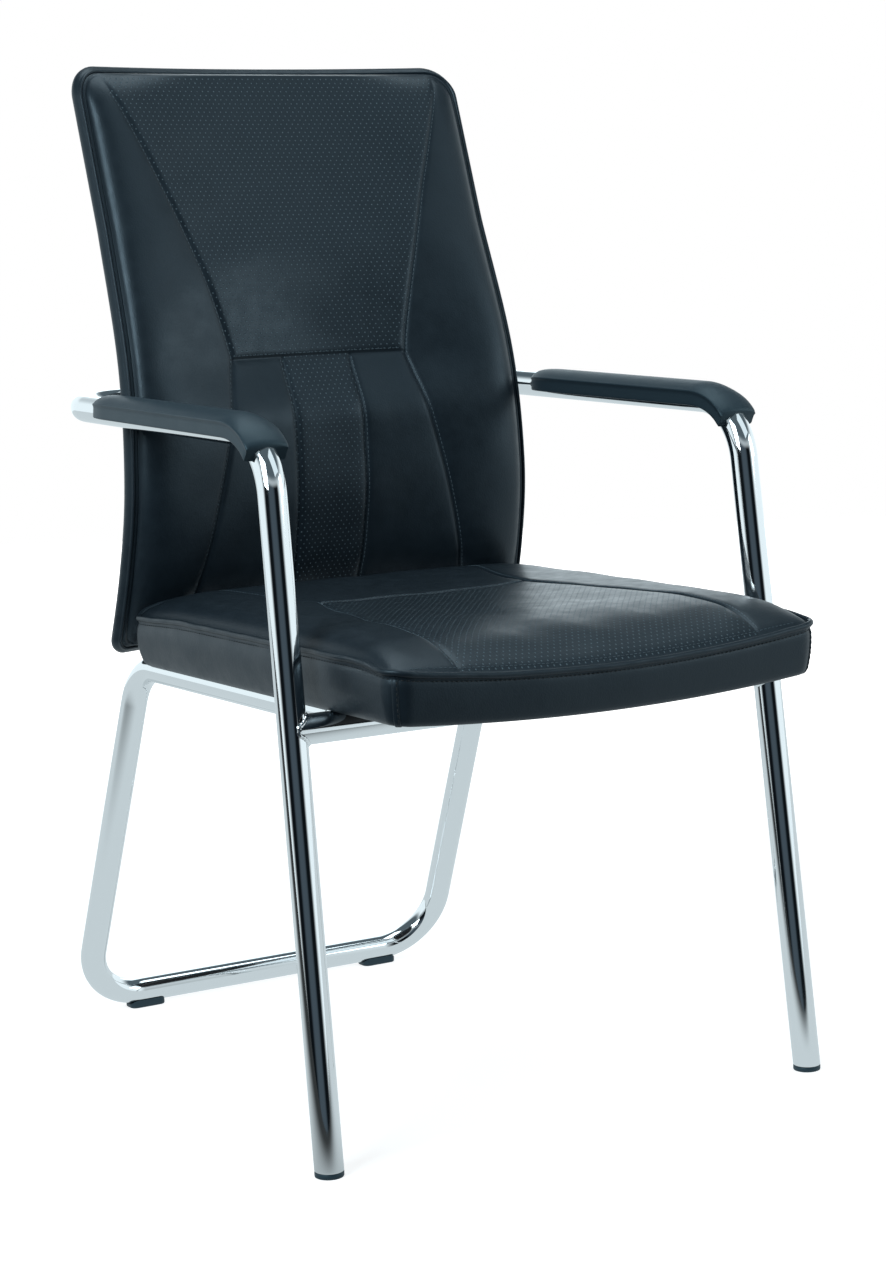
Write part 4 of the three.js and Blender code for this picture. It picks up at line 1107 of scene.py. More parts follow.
    def build_rear_loop(self) -> None:
        """The tube of the seat rails, the rear legs and the sled bar."""
        bar = self.leg_point(1, self.bar_height)
        start = (self.rail[0], bar[1], self.rail[2])
        corners = self.both_sides([start, self.rail, (*self.sled, self.sled_height)])
        rings = swept(Route.bent(corners, self.bend_radius), circle(self.radius, self.sides))
        for end in (0, -1):
            rise_over = np.abs(rings[end, :, 2] - self.bar_height)
            reach = np.sqrt(np.maximum((self.bar_diameter / 2) ** 2 - rise_over**2, 0.0))
            rings[end, :, 1] = bar[1] + reach - self.cope_lap
        draft = MeshDraft()
        draft.add_rings(rings, capped=True)
        piece = draft.build("frame_rear_loop_tube", self.drawing, [self.chrome], self.sharp_degrees)
        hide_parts("rear_loop_tube")
        for side, end in ((Side.LEFT, 0), (Side.RIGHT, -1)):
            self.build_weld(f"weld_rail_{side.word}", rings[end])

    def build_cross_bar(self) -> None:
        """The straight bar between the front legs."""
        ends = [self.leg_point(side, self.bar_height) for side in (-1, 1)]
        rings = swept(
            Route.bent([ends[0], (ends[0] + ends[1]) / 2 + (0, 0, 0.001), ends[1]], 1.0, 1),
            circle(self.bar_diameter / 2, self.sides),
            up=(0, 0, 1),
        )
        for side, end in ((-1, 0), (1, -1)):
            for point in rings[end]:
                axis = self.leg_point(side, float(point[2]))
                reach = math.sqrt(max(self.radius**2 - (point[1] - axis[1]) ** 2, 0.0))
                point[0] = axis[0] - side * (reach - self.cope_lap)
        draft = MeshDraft()
        draft.add_rings(rings)
        piece = draft.build("frame_cross_bar", self.drawing, [self.chrome], self.sharp_degrees)
        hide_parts("front_cross_bar")
        for side, end in ((Side.LEFT, 0), (Side.RIGHT, -1)):
            self.build_weld(f"weld_cross_bar_{side.word}", rings[end])

    def build_weld(self, name: str, ring: Array) -> None:
        """A rippled weld bead round the end of a tube.

        Args:
            name: Name of the piece.
            ring: Points round the end of the tube.
        """
        points = evenly(ring, self.weld_step, closed=True)
        route = Route.through(points, closed=True)
        ripple = 1 + self.weld_ripple * np.sin(np.arange(len(points)) * 2 * math.pi / 3)
        draft = MeshDraft()
        draft.add_hoop(swept(route, circle(self.weld_radius, 10), size=ripple))
        piece = draft.build(name, self.drawing, [self.chrome], SOFT_DEGREES)

    def build_foot_plug(self, side: Side) -> None:
        """The plug whose flange shows below the rim of a front leg.

        Args:
            side: The side of the chair.
        """
        radius, top = self.radius, self.rim_height - self.clearance
        profile = (
            (0.4, 0.25),
            (radius - 3.2, 0.25),
            (radius - 2.6, 0.0),
            (radius - 1.1, 0.0),
            (radius - 0.3, 0.35),
            (radius, 1.1),
            (radius, top - 0.5),
            (radius - 0.4, top),
            (radius - self.wall - 0.5, top),
            (radius - self.wall - 0.5, top + 14.0),
        )
        foot = self.corner(self.foot, side.value)
        rings = [
            np.column_stack([circle(r, self.sides) + foot[:2], np.full(self.sides, z)])
            for r, z in profile
        ]
        draft = MeshDraft()
        draft.add_rings(np.array(rings), capped=True)
        name = f"foot_cap_{side.word}"
        piece = draft.build(name, self.drawing, [self.plastic], self.sharp_degrees)
        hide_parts(f"foot_plug_{side.word}")

    def glide_top(self, place: Array) -> Array:
        """Height of a glide's top, hollowed to the sled bar.

        Args:
            place: Places along the chair, from the bar's centre line.

        Returns:
            Heights.
        """
        lap = self.radius + self.clearance
        hollow = self.sled_height - np.sqrt(np.maximum(lap**2 - place**2, 0.0))
        return np.minimum(hollow, self.glide_size[2])

    def build_glide(self, side: Side) -> None:
        """The glide that is hollowed to the sled bar and lies on the floor.

        Args:
            side: The side of the chair.
        """
        half = np.array(self.glide_size[:2]) / 2
        outline = []
        for turn, signs in enumerate(((1, 1), (-1, 1), (-1, -1), (1, -1))):
            for angle in np.linspace(0, math.pi / 2, 9) + turn * math.pi / 2:
                way = np.array([math.cos(angle), math.sin(angle)])
                outline.append(signs * (half - self.glide_corner) + self.glide_corner * way)
        flat = np.array(outline)
        rows = []
        for inset, height in ((3.0, 0.2), (1.4, 0.0), (0.5, 0.3), (0.0, 1.2)):
            rows.append(np.column_stack([flat * (1 - inset / half), np.full(len(flat), height)]))
        for inset, sunk in ((0.0, 0.4), (0.5, 0.0), (half[1] / 2, 0.0)):
            inner = flat * (1 - inset / half)
            rows.append(np.column_stack([inner, self.glide_top(inner[:, 1]) - sunk]))
        middle = np.array([side.value * self.glide_from_centre, self.sled[1], 0.0])
        draft = MeshDraft()
        draft.add_rings(np.array(rows) + middle, capped=True)
        piece = draft.build(f"glide_{side.word}", self.drawing, [self.plastic], self.sharp_degrees)
        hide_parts(f"sled_glide_{side.word}")


@dataclass
class ArmPads:
    """The moulded pads that run along the arms and wrap round their front bends.

    Args:
        frame: The tube frame that carries them.
        skin: Finish of the pads.
    """

    frame: TubeFrame
    skin: Material
    half_width: float = 20.0
    crease: float = 9.8
    top: float = 16.5
    lip_crease: float = 12.2
    lip_top: float = 15.4
    lip_lean: float = 0.34
    skirt: float = 5.0
    lip_skirt: float = 0.5
    rear_setback: float = 392.0
    taper: float = 34.0
    wrap_degrees: float = 50.0

    def build(self) -> None:
        """Makes the pad of each arm."""
        for side in Side:
            self.build_pad(side)

    def section(self, wide: float, tall: float, skirt: float, flat: float = 0.0) -> Array:
        """Half-rounded section of the pad across the tube.

        Args:
            wide: Share of the full width.
            tall: Share of the full height.
            skirt: How far the pad reaches below the tube's centre line.
            flat: How far the section has turned into the flat one of the front lip, as a share.

        Returns:
            Points round the section, sideways and upward.
        """
        half = self.half_width * wide
        crease = blend(self.crease, self.lip_crease, flat) * tall
        top = blend(self.top, self.lip_top, flat) * tall
        right = [
            (half * 0.55, -skirt),
            (half - 2.0, -skirt),
            (half - 0.4, -skirt + 0.6),
            (half - 0.3, -skirt + 2.4),
            (half - 0.8, crease - 3.0),
            (half + 0.2, crease - 1.8),
            (half + 0.1, crease - 0.6),
            (half - 1.2, crease + 0.2),
            (half * 0.8, blend(crease, top, 0.36)),
            (half * 0.55, blend(crease, top, 0.74)),
            (half * 0.28, blend(crease, top, 0.95)),
            (0.0, top),
        ]
        left = [(-x, y) for x, y in right[-2::-1]]
        line = np.array([*right, *left, (0.0, -skirt)])
        ahead = np.roll(line, -1, 0)
        cut = np.stack([line * 0.75 + ahead * 0.25, line * 0.25 + ahead * 0.75], 1)
        return cut.reshape(-1, 2)

    def build_pad(self, side: Side) -> None:
        """Lofts the pad of one arm from its rear end round the front bend.

        Args:
            side: The side of the chair.
        """
        frame = self.frame
        rear = frame.corner(frame.arm_rear, side.value)
        shoulder = frame.corner(frame.shoulder, side.value)
        foot = frame.leg_point(side.value, frame.rim_height)
        forward, down = unit(shoulder - rear), unit(foot - shoulder)
        turn = math.acos(float(forward @ down))
        inward = unit(down - forward * float(forward @ down))
        bend_start = shoulder - forward * frame.bend_radius * math.tan(turn / 2)
        centre = bend_start + inward * frame.bend_radius
        pad_start = rear + forward * (rear[1] - self.rear_setback) / -forward[1]
        length = float(np.linalg.norm(bend_start - pad_start))
        rows = []

        def add(
            point: Array, along: Array, toward: Array, outline: Array, lean: float = 0.0
        ) -> None:
            """Stands a section on the route, with its height away from the bend's inside."""
            across, upward = np.cross(-toward, along), -toward - lean * along
            rows.append(point + outline[:, :1] * across + outline[:, 1:] * upward)

        for reach in (0.0, 0.7, 2.2, 5.0, 9.0, 14.0, 21.0, 28.0, self.taper):
            share = reach / self.taper
            ease = math.sqrt(max(1 - (1 - min(share * 1.6, 1.0)) ** 2, 0.0))
            wide = blend(0.66, 0.90, ease) + 0.10 * smooth_step(share)
            tall = blend(0.80, 0.97, ease) + 0.03 * smooth_step(share)
            round_end = 1 - 0.16 * max(1 - reach / 2.2, 0.0) ** 2
            outline = self.section(wide * round_end, tall * round_end, self.skirt * round_end)
            add(pad_start + forward * reach, forward, inward, outline)
        for share in np.linspace(0.08, 1.0, 18):
            reach = blend(self.taper, length, share)
            add(pad_start + forward * reach, forward, inward, self.section(1, 1, self.skirt))
        for share in np.linspace(0, 1, 22)[1:]:
            angle = share * math.radians(self.wrap_degrees)
            along = forward * math.cos(angle) + inward * math.sin(angle)
            toward = inward * math.cos(angle) - forward * math.sin(angle)
            skirt = blend(self.skirt, self.lip_skirt, smooth_step(share))
            closing = max((share - 0.96) / 0.04, 0.0)
            outline = self.section(1.0, 1 - 0.04 * closing, skirt, smooth_step(share * 1.2))
            outline *= 1 - 0.02 * closing
            lean = self.lip_lean * smooth_step(share * 1.4 - 0.4)
            add(centre - toward * frame.bend_radius, along, toward, outline, lean)
        draft = MeshDraft()
        draft.add_rings(np.array(rows), capped=True)
        piece = draft.build(f"arm_rest_{side.word}", frame.drawing, [self.skin], 62.0)
        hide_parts(f"arm_pad_{side.word}")


@dataclass
class SeatCushion:
    """The boxed seat cushion: sewn top, welt, border, corner seams and stitching.

    Args:
        drawing: Turns millimetres into metres.
        leather: Finish of the plain panels and the border.
        perforated: Finish of the centre panel.
        thread: Finish of the top's stitching.
        shaded_thread: Finish of the border's stitching, a darker copy of the top's thread: painted
            shade for the stitches sunk under the welt and beside the corner seams.
    """

    drawing: Drawing
    leather: Material
    perforated: Material
    thread: Material
    shaded_thread: Material
    width: float = 433.0
    front: float = -70.0
    rear: float = 405.0
    front_corner: float = 18.0
    rear_corner: float = 14.0
    front_bow: float = 8.0
    edge_height: float = 430.0
    underside: float = 381.5
    edge_puff: float = 21.0
    side_round: float = 15.0
    front_round: float = 26.0
    rear_round: float = 40.0
    crown: float = -6.0
    corner_dip: float = 5.0
    rear_dip: float = 4.0
    rear_arch: float = 14.0
    rear_arch_round: float = 25.0
    rear_arch_depth: float = 110.0
    front_dip: float = 14.0
    under_dip: float = 9.0
    dip_depth: float = 58.0
    front_slope_depth: float = 130.0
    side_draw: float = 4.0
    side_bulge: float = 3.5
    panel_front: float = 304.0
    panel_waist: float = 220.0
    panel_rear: float = 285.0
    cross_seam: float = 235.0
    seam_depth: float = 2.6
    seam_width: float = 2.6
    seam_lap: float = 1.0
    welt_radius: float = 2.8
    tuck: float = 1.4
    stitch_level: float = 0.11
    stitch_offset: float = 2.6
    lap_half_width: float = 2.7
    drawn_depth: float = 1.2
    drawn_width: float = 12.0
    lap_width: float = 9.0
    softness: float = 0.7
    column_reach: float = 28.0
    corner_shares: tuple[float, ...] = (0.0, 0.02, 0.06, 0.12, 0.2, 0.3, 0.42, 0.56, 0.72, 0.88)
    border_levels: tuple[float, ...] = (
        *(0.03, 0.07, 0.1, 0.13, 0.18, 0.26, 0.36, 0.48),
        *(0.6, 0.72, 0.82, 0.9, 0.95, 0.985, 1.0),
    )

    @property
    def half_width(self) -> float:
        """Half the width of the seat."""
        return self.width / 2

    @property
    def half_depth(self) -> float:
        """Half the depth of the seat."""
        return (self.rear - self.front) / 2

    @property
    def middle(self) -> float:
        """Setback of the middle of the seat."""
        return (self.rear + self.front) / 2

    def seam(self, setback: float) -> float:
        """Where the two long seams run.

        Args:
            setback: A setback.

        Returns:
            Half the spread of the seams there.
        """
        if setback > self.cross_seam:
            share = (setback - self.cross_seam) / (self.rear - self.cross_seam)
            return blend(self.panel_waist, self.panel_rear, share) / 2
        share = (setback - self.front) / (self.cross_seam - self.front)
        return blend(self.panel_front, self.panel_waist, share**2.4) / 2

    def dip(self, setback: Array) -> Array:
        """How strongly the front of the seat dips at a setback, as a share."""
        return 1 - smooth_step((setback - self.front) / self.dip_depth)

    def edge(self, x: Array, setback: Array) -> Array:
        """The line of the welt, which dips at the corners and along the front.

        Args:
            x: Places across the seat.
            setback: Setbacks.

        Returns:
            Heights.
        """
        across = np.maximum(1 - (x / self.half_width) ** 2, 0.0)
        slope = np.maximum(1 - (setback - self.front) / self.front_slope_depth, 0.0) ** 2
        in_front = self.dip(setback) * self.corner_dip + slope * self.front_dip * across
        arch = self.rear_arch * rise(self.half_width - np.abs(x), self.rear_arch_round)
        at_rear = smooth_step(1 - (self.rear - setback) / self.rear_arch_depth)
        return self.edge_height - in_front + at_rear * (arch - self.rear_dip)

    def under(self, x: Array, setback: Array) -> Array:
        """Height of the lower edge of the border."""
        across = np.maximum(1 - (x / self.half_width) ** 2, 0.0)
        return self.underside - self.dip(setback) * self.under_dip * across

    def top(self, x: Array, setback: Array, seam: Array) -> Array:
        """Height of the sewn and padded top.

        Args:
            x: Places across the seat.
            setback: Setbacks.
            seam: Half the spread of the long seams at these setbacks.

        Returns:
            Heights.
        """
        from_side = self.half_width - np.abs(x)
        from_front, from_rear = setback - self.front, self.rear - setback
        puff = rise(from_side, self.side_round) * rise(from_front, self.front_round)
        puff = puff * rise(from_rear, self.rear_round)
        from_edge = np.minimum(np.minimum(from_side, from_front), from_rear)
        tucked = self.tuck * groove(from_edge - 4.0, 2.4)
        across = 1 - (x / self.half_width) ** 2
        along = 1 - ((setback - self.middle) / self.half_depth) ** 2
        long_seam = groove(np.abs(x) - seam, self.seam_width)
        in_panel = np.abs(x) < seam
        cross = np.where(in_panel, groove(setback - self.cross_seam, self.seam_width), 0.0)
        sewn = np.maximum(long_seam, cross) * self.seam_depth * puff
        wide_cross = np.where(in_panel, groove(setback - self.cross_seam, self.drawn_width), 0.0)
        wide_seam = groove(np.abs(x) - seam, self.drawn_width)
        drawn = self.drawn_depth * np.maximum(wide_seam, wide_cross) * puff
        lapped = np.where(np.abs(x) > seam, np.exp(-(np.abs(x) - seam) / self.lap_width), 0.0)
        lapped = np.maximum(lapped, np.where(setback > self.cross_seam, wide_cross, 0.0))
        height = self.edge(x, setback) + self.edge_puff * puff + self.crown * across * along
        return height - sewn - drawn - tucked + self.seam_lap * lapped * puff

    def rows(self) -> Array:
        """Lays the grid lines that run across the top.

        Returns:
            Their setbacks from front to rear.
        """
        corner = np.array(self.corner_shares)
        seam = sewn_lines(self.cross_seam)[::-1]
        parts = (
            self.front + corner * self.front_corner,
            np.linspace(self.front + self.front_corner, seam[0] - 5.0, 46),
            seam,
            np.linspace(seam[-1] + 5.0, self.rear - self.rear_corner, 22),
            self.rear - corner[::-1] * self.rear_corner,
        )
        return np.concatenate(parts)

    def columns(self, setback: float) -> Array:
        """Lays the grid lines that run along the top.

        Args:
            setback: Setback of a row.

        Returns:
            Their places across that row.
        """
        lines = sewn_lines(self.seam(setback))
        half = (
            self.half_width - np.array(self.corner_shares) * self.column_reach,
            np.linspace(self.half_width - self.column_reach, lines[0] + 1.5, 8),
            lines,
            np.linspace(lines[-1] - 3.0, 0.0, 20),
        )
        return mirrored(np.concatenate(half))

    def build(self) -> None:
        """Makes the cushion, its welt and its stitching."""
        rows = self.rows()
        x = np.array([self.columns(setback) for setback in rows])
        setback = np.repeat(rows[:, None], x.shape[1], 1)
        seam = np.array([self.seam(s) for s in rows])[:, None] * np.ones_like(x)
        radius = np.where(setback < self.middle, self.front_corner, self.rear_corner)
        round_x, round_y = rounded_corner(
            x, setback - self.middle, self.half_width, self.half_depth, radius
        )
        bow = self.front_bow * self.dip(setback) * (1 - (x / self.half_width) ** 2)
        height = self.top(x, setback, seam)
        points = np.stack([round_x, self.middle + round_y - bow, height], 2)
        soft = noise_field(points.reshape(-1, 3), 60.0, 4).reshape(height.shape)
        inner = smooth_step((self.half_width - np.abs(x)) / 40.0)
        inner = inner * smooth_step((self.half_depth - np.abs(setback - self.middle)) / 40.0)
        points[:, :, 2] += self.softness * soft * inner
        panel = (np.abs(x) < seam + EDGE_SLACK) & (setback < self.cross_seam + EDGE_SLACK)
        draft = MeshDraft()
        edge, rim = draft.add_sheet(points, np.stack([x, setback], 2), perforated_faces(panel))
        rings = self.border(rim)
        draft.add_skirt(edge, rings)
        finishes = [self.leather, self.perforated]
        piece = draft.build("seat_upholstery", self.drawing, finishes, PANEL_DEGREES)
        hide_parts("seat_cushion")
        self.build_welt(rim)
        self.build_corner_laps(rim, rings)
        self.build_stitching(points, x, setback, seam)

    def outline_ways(self, rim: Array) -> Array:
        """Directions out of the seat at the points of its rim, level with the floor."""
        return ways_out(rim, (0.0, 0.0, 1.0), (0.0, self.middle, 0.0))

    def border(self, rim: Array) -> Array:
        """Rings of the border from just below the welt to the turned-in lower edge.

        Args:
            rim: Points round the top of the seat.

        Returns:
            Points by ring and place round the ring.
        """
        ways = self.outline_ways(rim)
        low = self.under(rim[:, 0], rim[:, 1])
        bulge = self.side_bulge * (1 - 0.8 * self.dip(rim[:, 1]))
        rings = []
        for level in self.border_levels:
            out = bulge * math.sin(math.pi * level) - self.side_draw * level**2
            sewn = 1.3 * float(groove(np.array(level - self.stitch_level), 0.02))
            turned = 2.2 * max((level - 0.9) / 0.1, 0.0) ** 2
            ring = rim + ways * (out - sewn - turned)[:, None]
            wave = noise_field(ring * (1.0, 1.0, 0.4), 90.0, 11)
            pucker = noise_field(ring * (1.0, 1.0, 0.2), 30.0, 21)
            drawn = 0.6 * wave * math.sin(math.pi * level) + 0.45 * pucker * math.exp(-5.0 * level)
            ring += ways * drawn[:, None]
            ring[:, 2] = blend(rim[:, 2], low, level)
            rings.append(ring)
        for inset, lift in ((4.0, -0.2), (9.0, 0.6), (16.0, 2.6)):
            ring = rim - ways * (self.side_draw + inset)
            ring[:, 2] = low + lift
            rings.append(ring)
        return np.array(rings)

    def build_welt(self, rim: Array) -> None:
        """The thin welt sewn into the edge between the top and the border.

        Args:
            rim: Points round the top of the seat.
        """
        points = evenly(rim, 3.0, closed=True)
        ways = self.outline_ways(points)
        points = points + ways * 0.5 + (0, 0, 0.5)
        points += ways * (0.3 * noise_field(points, 26.0, 5))[:, None]
        points[:, 2] += 0.35 * noise_field(points, 34.0, 6)
        section = circle(self.welt_radius, 12) * (0.9, 1.0)
        draft = MeshDraft()
        draft.add_hoop(swept(Route.through(points, closed=True), section, up=(0, 0, 1)))
        piece = draft.build("seat_welt", self.drawing, [self.leather], SOFT_DEGREES)

    def build_corner_laps(self, rim: Array, rings: Array) -> None:
        """The lapped seams down the front corners of the border, and the border's stitches.

        Args:
            rim: Points round the top of the seat.
            rings: Rings of the border.
        """
        ways = self.outline_ways(rim)
        half = self.lap_half_width
        right = [(half - 0.6, 0.8), (half, 0.3), (half, -0.9)]
        section = np.array([*((-x, y) for x, y in right[::-1]), *right])
        draft = MeshDraft()
        stitching = Stitching(gap_mm=1.5, thread_mm=0.8)
        for sign in (-1, 1):
            corner = int(np.argmax(sign * rim[:, 0] - rim[:, 1]))
            path = rings[1 : len(self.border_levels) + 1, corner]
            way = ways[corner]
            draft.add_rings(swept(Route.through(path), section, up=way), capped=True)
            across = np.array([-way[1], way[0], 0.0]) * -sign
            stitching.run(evenly(path[2:] + across * (half - 1.2) + way * 0.8, 2.0), way)
        laps = draft.build("seat_corner_laps", self.drawing, [self.leather], 60.0)
        closed_rim = evenly(rim, 2.0, closed=True)
        out_ways = self.outline_ways(closed_rim)
        low = self.under(closed_rim[:, 0], closed_rim[:, 1])
        level = self.stitch_level
        bulge = self.side_bulge * (1 - 0.8 * self.dip(closed_rim[:, 1]))
        out = bulge * math.sin(math.pi * level) - self.side_draw * level**2 - 0.7
        line = closed_rim + out_ways * out[:, None]
        line[:, 2] = blend(closed_rim[:, 2], low, level)
        stitching.run(np.vstack([line, line[:1]]), np.vstack([out_ways, out_ways[:1]]))
        # Painted shade: the border's stitches take the darker copy of the thread.
        sewn = stitching.build("seat_border_stitching", self.drawing, self.shaded_thread)

    def build_stitching(self, points: Array, x: Array, setback: Array, seam: Array) -> None:
        """The stitches beside the seams of the top and inside its front edge.

        Args:
            points: Points of the top by row and column.
            x: Places across the seat before rounding.
            setback: Setbacks before rounding.
            seam: Half the spread of the long seams.
        """
        stitching = Stitching()
        up = np.array([0.0, 0.0, 1.0])
        flat_rows = setback[:, 0]
        behind_front = np.flatnonzero(flat_rows > self.front + 9.0)
        for sign in (-1, 1):
            places = sign * (seam[:, 0] + self.stitch_offset)
            line = [read_off(places[r], x[r], points[r]) for r in behind_front]
            stitching.run(evenly(np.array(line), 2.0), up)
        for place, spread in (
            (self.cross_seam + self.stitch_offset, self.seam(self.cross_seam) - 2.0),
            (self.front + 7.5, self.half_width - self.front_corner),
        ):
            columns = range(points.shape[1])
            row = np.array([read_off(place, flat_rows, points[:, c]) for c in columns])
            stitching.run(evenly(row[np.abs(row[:, 0]) < spread], 2.0), up)
        piece = stitching.build("seat_stitching", self.drawing, self.thread)


@dataclass
class BackRest:
    """The upholstered back: padded rear with its raised rim, and the sewn front pad.

    Args:
        drawing: Turns millimetres into metres.
        leather: Finish of the plain panels.
        perforated: Finish of the upper panel and the centre strip.
        thread: Finish of the stitching.
    """

    drawing: Drawing
    leather: Material
    perforated: Material
    thread: Material
    profile: tuple[tuple[float, float], ...] = (
        (436.0, 392.0),
        (411.5, 468.0),
        (399.0, 550.0),
        (409.7, 661.0),
        (455.0, 796.5),
        (502.0, 937.0),
    )
    width: float = 415.0
    flare_start: float = 787.0
    flare: float = 30.0
    top_corner: float = 27.0
    bottom_corner: float = 12.0
    sag: float = 40.0
    rim_front: float = 5.0
    rim_thickness: float = 17.0
    rim_round: float = 4.0
    rear_crown: float = 4.0
    pad_inset: float = 5.5
    edge_lift: float = 2.5
    edge_puff: float = 26.5
    edge_round: float = 14.0
    side_round: float = 72.0
    side_bulge: float = 2.0
    hollow: float = 29.0
    waist_dip: float = 16.0
    foot_thin: float = 10.0
    foot_height: float = 80.0
    waist_height: float = 661.0
    waist_spread: float = 190.0
    upper_fade: float = 110.0
    lower_fade: float = 62.0
    top_spread: float = 372.0
    foot_spread: float = 320.0
    strip_spread: float = 75.0
    seam_depth: float = 2.6
    seam_width: float = 2.4
    seam_lap: float = 1.5
    stitch_offset: float = 2.2
    strap_from_centre: float = 55.0
    strap_width: float = 30.0
    pad_corner_shares: tuple[float, ...] = (0.0, 0.03, 0.08, 0.16, 0.26, 0.38, 0.52, 0.68, 0.84)
    pad_side_shares: tuple[float, ...] = (
        *(0.0, 0.02, 0.05, 0.1, 0.16, 0.24),
        *(0.33, 0.45, 0.57, 0.7, 0.85),
    )
    shell_corner_shares: tuple[float, ...] = (0.0, 0.04, 0.1, 0.18, 0.28, 0.4, 0.55, 0.7, 0.85)
    pad_edge_shares: tuple[float, ...] = (0.06, 0.14, 0.25, 0.4, 0.55, 0.7, 0.85, 1.0)
    rim_shares: tuple[float, ...] = (0.08, 0.2, 0.35, 0.5, 0.65, 0.8, 0.9, 0.96)
    rim_bead: tuple[tuple[float, float], ...] = (
        *((0.4, 0.6), (-0.6, 1.5), (-1.8, 1.2), (-2.6, 0.3), (-3.4, 1.2)),
        *((-5.2, 2.0), (-7.4, 1.6), (-9.2, 0.2), (-12.0, -1.0), (-20.0, -1.0)),
    )

    def __post_init__(self) -> None:
        """Lays the curve of the back through the points of its side profile."""
        knots = np.array(self.profile)
        ends = [knots[0], *knots, knots[-1]]
        curve = []
        for before, start, stop, after in zip(ends[:-3], ends[1:-2], ends[2:-1], ends[3:]):
            for t in np.linspace(0, 1, 40, endpoint=False):
                way_in, way_out = (stop - before) / 2, (after - start) / 2
                curve.append(
                    start * (2 * t**3 - 3 * t**2 + 1)
                    + way_in * (t**3 - 2 * t**2 + t)
                    + stop * (3 * t**2 - 2 * t**3)
                    + way_out * (t**3 - t**2)
                )
        self.curve = np.array([*curve, knots[-1]])

    @property
    def bottom(self) -> float:
        """Height of the lower edge of the back."""
        return self.profile[0][1]

    @property
    def top(self) -> float:
        """Height of the upper edge of the back."""
        return self.profile[-1][1]

    def rim(self, height: Any) -> Any:
        """Setback of the rim at a height."""
        return np.interp(height, self.curve[:, 1], self.curve[:, 0])

    def half_width(self, height: Any) -> Any:
        """Half the width of the back at a height."""
        below = np.maximum(self.flare_start - height, 0) / (self.flare_start - self.bottom)
        return self.width / 2 + self.flare / 2 * below

    def face(self, x: Any, height: Any) -> Any:
        """Setback of the face where the front pad meets the rear shell."""
        across = 1 - np.minimum(np.abs(x) / self.half_width(height), 1) ** 2
        return self.rim(height) - self.rim_front + self.sag * across

    @property
    def middle(self) -> float:
        """Height of the middle of the back."""
        return (self.top + self.bottom) / 2

    def side_seam(self, height: float) -> float:
        """Where the two long seams run.

        Args:
            height: A height.

        Returns:
            Half the spread of the seams there.
        """
        if height > self.waist_height:
            share = (height - self.waist_height) / (self.top - self.waist_height)
            return blend(self.waist_spread, self.top_spread, share**1.25) / 2
        share = (self.waist_height - height) / (self.waist_height - self.bottom)
        return blend(self.waist_spread, self.foot_spread, share) / 2

    def puff(self, x: Array, height: Array, seam: Array) -> Array:
        """How far the front pad stands in front of its edge.

        Args:
            x: Places across the back.
            height: Heights.
            seam: Half the spread of the side seams at these heights.

        Returns:
            Millimetres towards the sitter.
        """
        half = self.half_width(height) - self.pad_inset
        low, high = self.bottom + self.pad_inset, self.top - self.pad_inset
        across = 1 - (x / half) ** 2
        from_side = np.clip((half - np.abs(x)) / self.side_round, 0.0, 1.0)
        edge = np.sqrt(1 - (1 - from_side) ** 2)
        edge = edge * rise(np.minimum(height - low, high - height), self.edge_round)
        above = height - self.waist_height
        fade = np.where(above > 0, self.upper_fade, self.lower_fade)
        waist = 1 - smooth_step(np.abs(above) / fade)
        foot = 1 - smooth_step((height - low) / self.foot_height)
        hollow = (self.hollow + self.waist_dip * waist) * across
        body = self.edge_puff - self.foot_thin * foot - hollow
        side = np.abs(x) - seam
        strip = np.abs(x) - self.strip_spread / 2
        below = height <= self.waist_height + EDGE_SLACK
        inside = np.abs(x) <= seam + EDGE_SLACK
        strip_seam = np.where(below, groove(strip, self.seam_width), 0)
        sewn = np.maximum(groove(side, self.seam_width), strip_seam)
        sewn = np.maximum(sewn, np.where(inside, groove(above, self.seam_width), 0))
        drawn = np.maximum(groove(side, 13.0), np.where(below, groove(strip, 9.0), 0) * 0.5)
        drawn = np.maximum(drawn, np.where(inside, groove(above, 12.0), 0))
        upper = inside & (above >= 0)
        lapped = np.where(upper, np.maximum(np.exp(side / 9.0), np.exp(-above / 12.0)), 0.0)
        return edge * (body - self.seam_depth * sewn - 1.3 * drawn + self.seam_lap * lapped)

    def pad_rows(self) -> Array:
        """Lays the grid lines that run across the front pad.

        Returns:
            Their heights, from bottom to top.
        """
        low, high = self.bottom + self.pad_inset, self.top - self.pad_inset
        corner = np.array(self.pad_corner_shares)
        seam = sewn_lines(self.waist_height)[::-1]
        parts = (
            low + corner * 24.0,
            np.linspace(low + 24.0, seam[0] - 4.0, 34),
            seam,
            np.linspace(seam[-1] + 4.0, high - self.top_corner, 34),
            high - corner[::-1] * self.top_corner,
        )
        return np.concatenate(parts)

    def pad_columns(self, height: float) -> Array:
        """Lays the grid lines that run up the front pad.

        Args:
            height: Height of a row.

        Returns:
            Their places across that row.
        """
        half = float(self.half_width(height)) - self.pad_inset
        lines = sewn_lines(self.side_seam(height))
        strip = sewn_lines(self.strip_spread / 2)
        parts = (
            half - np.array(self.pad_side_shares) * (half - lines[0]),
            lines,
            np.linspace(lines[-1], strip[0], 10)[1:-1],
            strip,
            np.linspace(strip[-1], 0.0, 7)[1:],
        )
        return mirrored(np.concatenate(parts))

    def build(self) -> None:
        """Makes the rear shell, the front pad and their seams."""
        self.build_pad()
        self.build_shell()

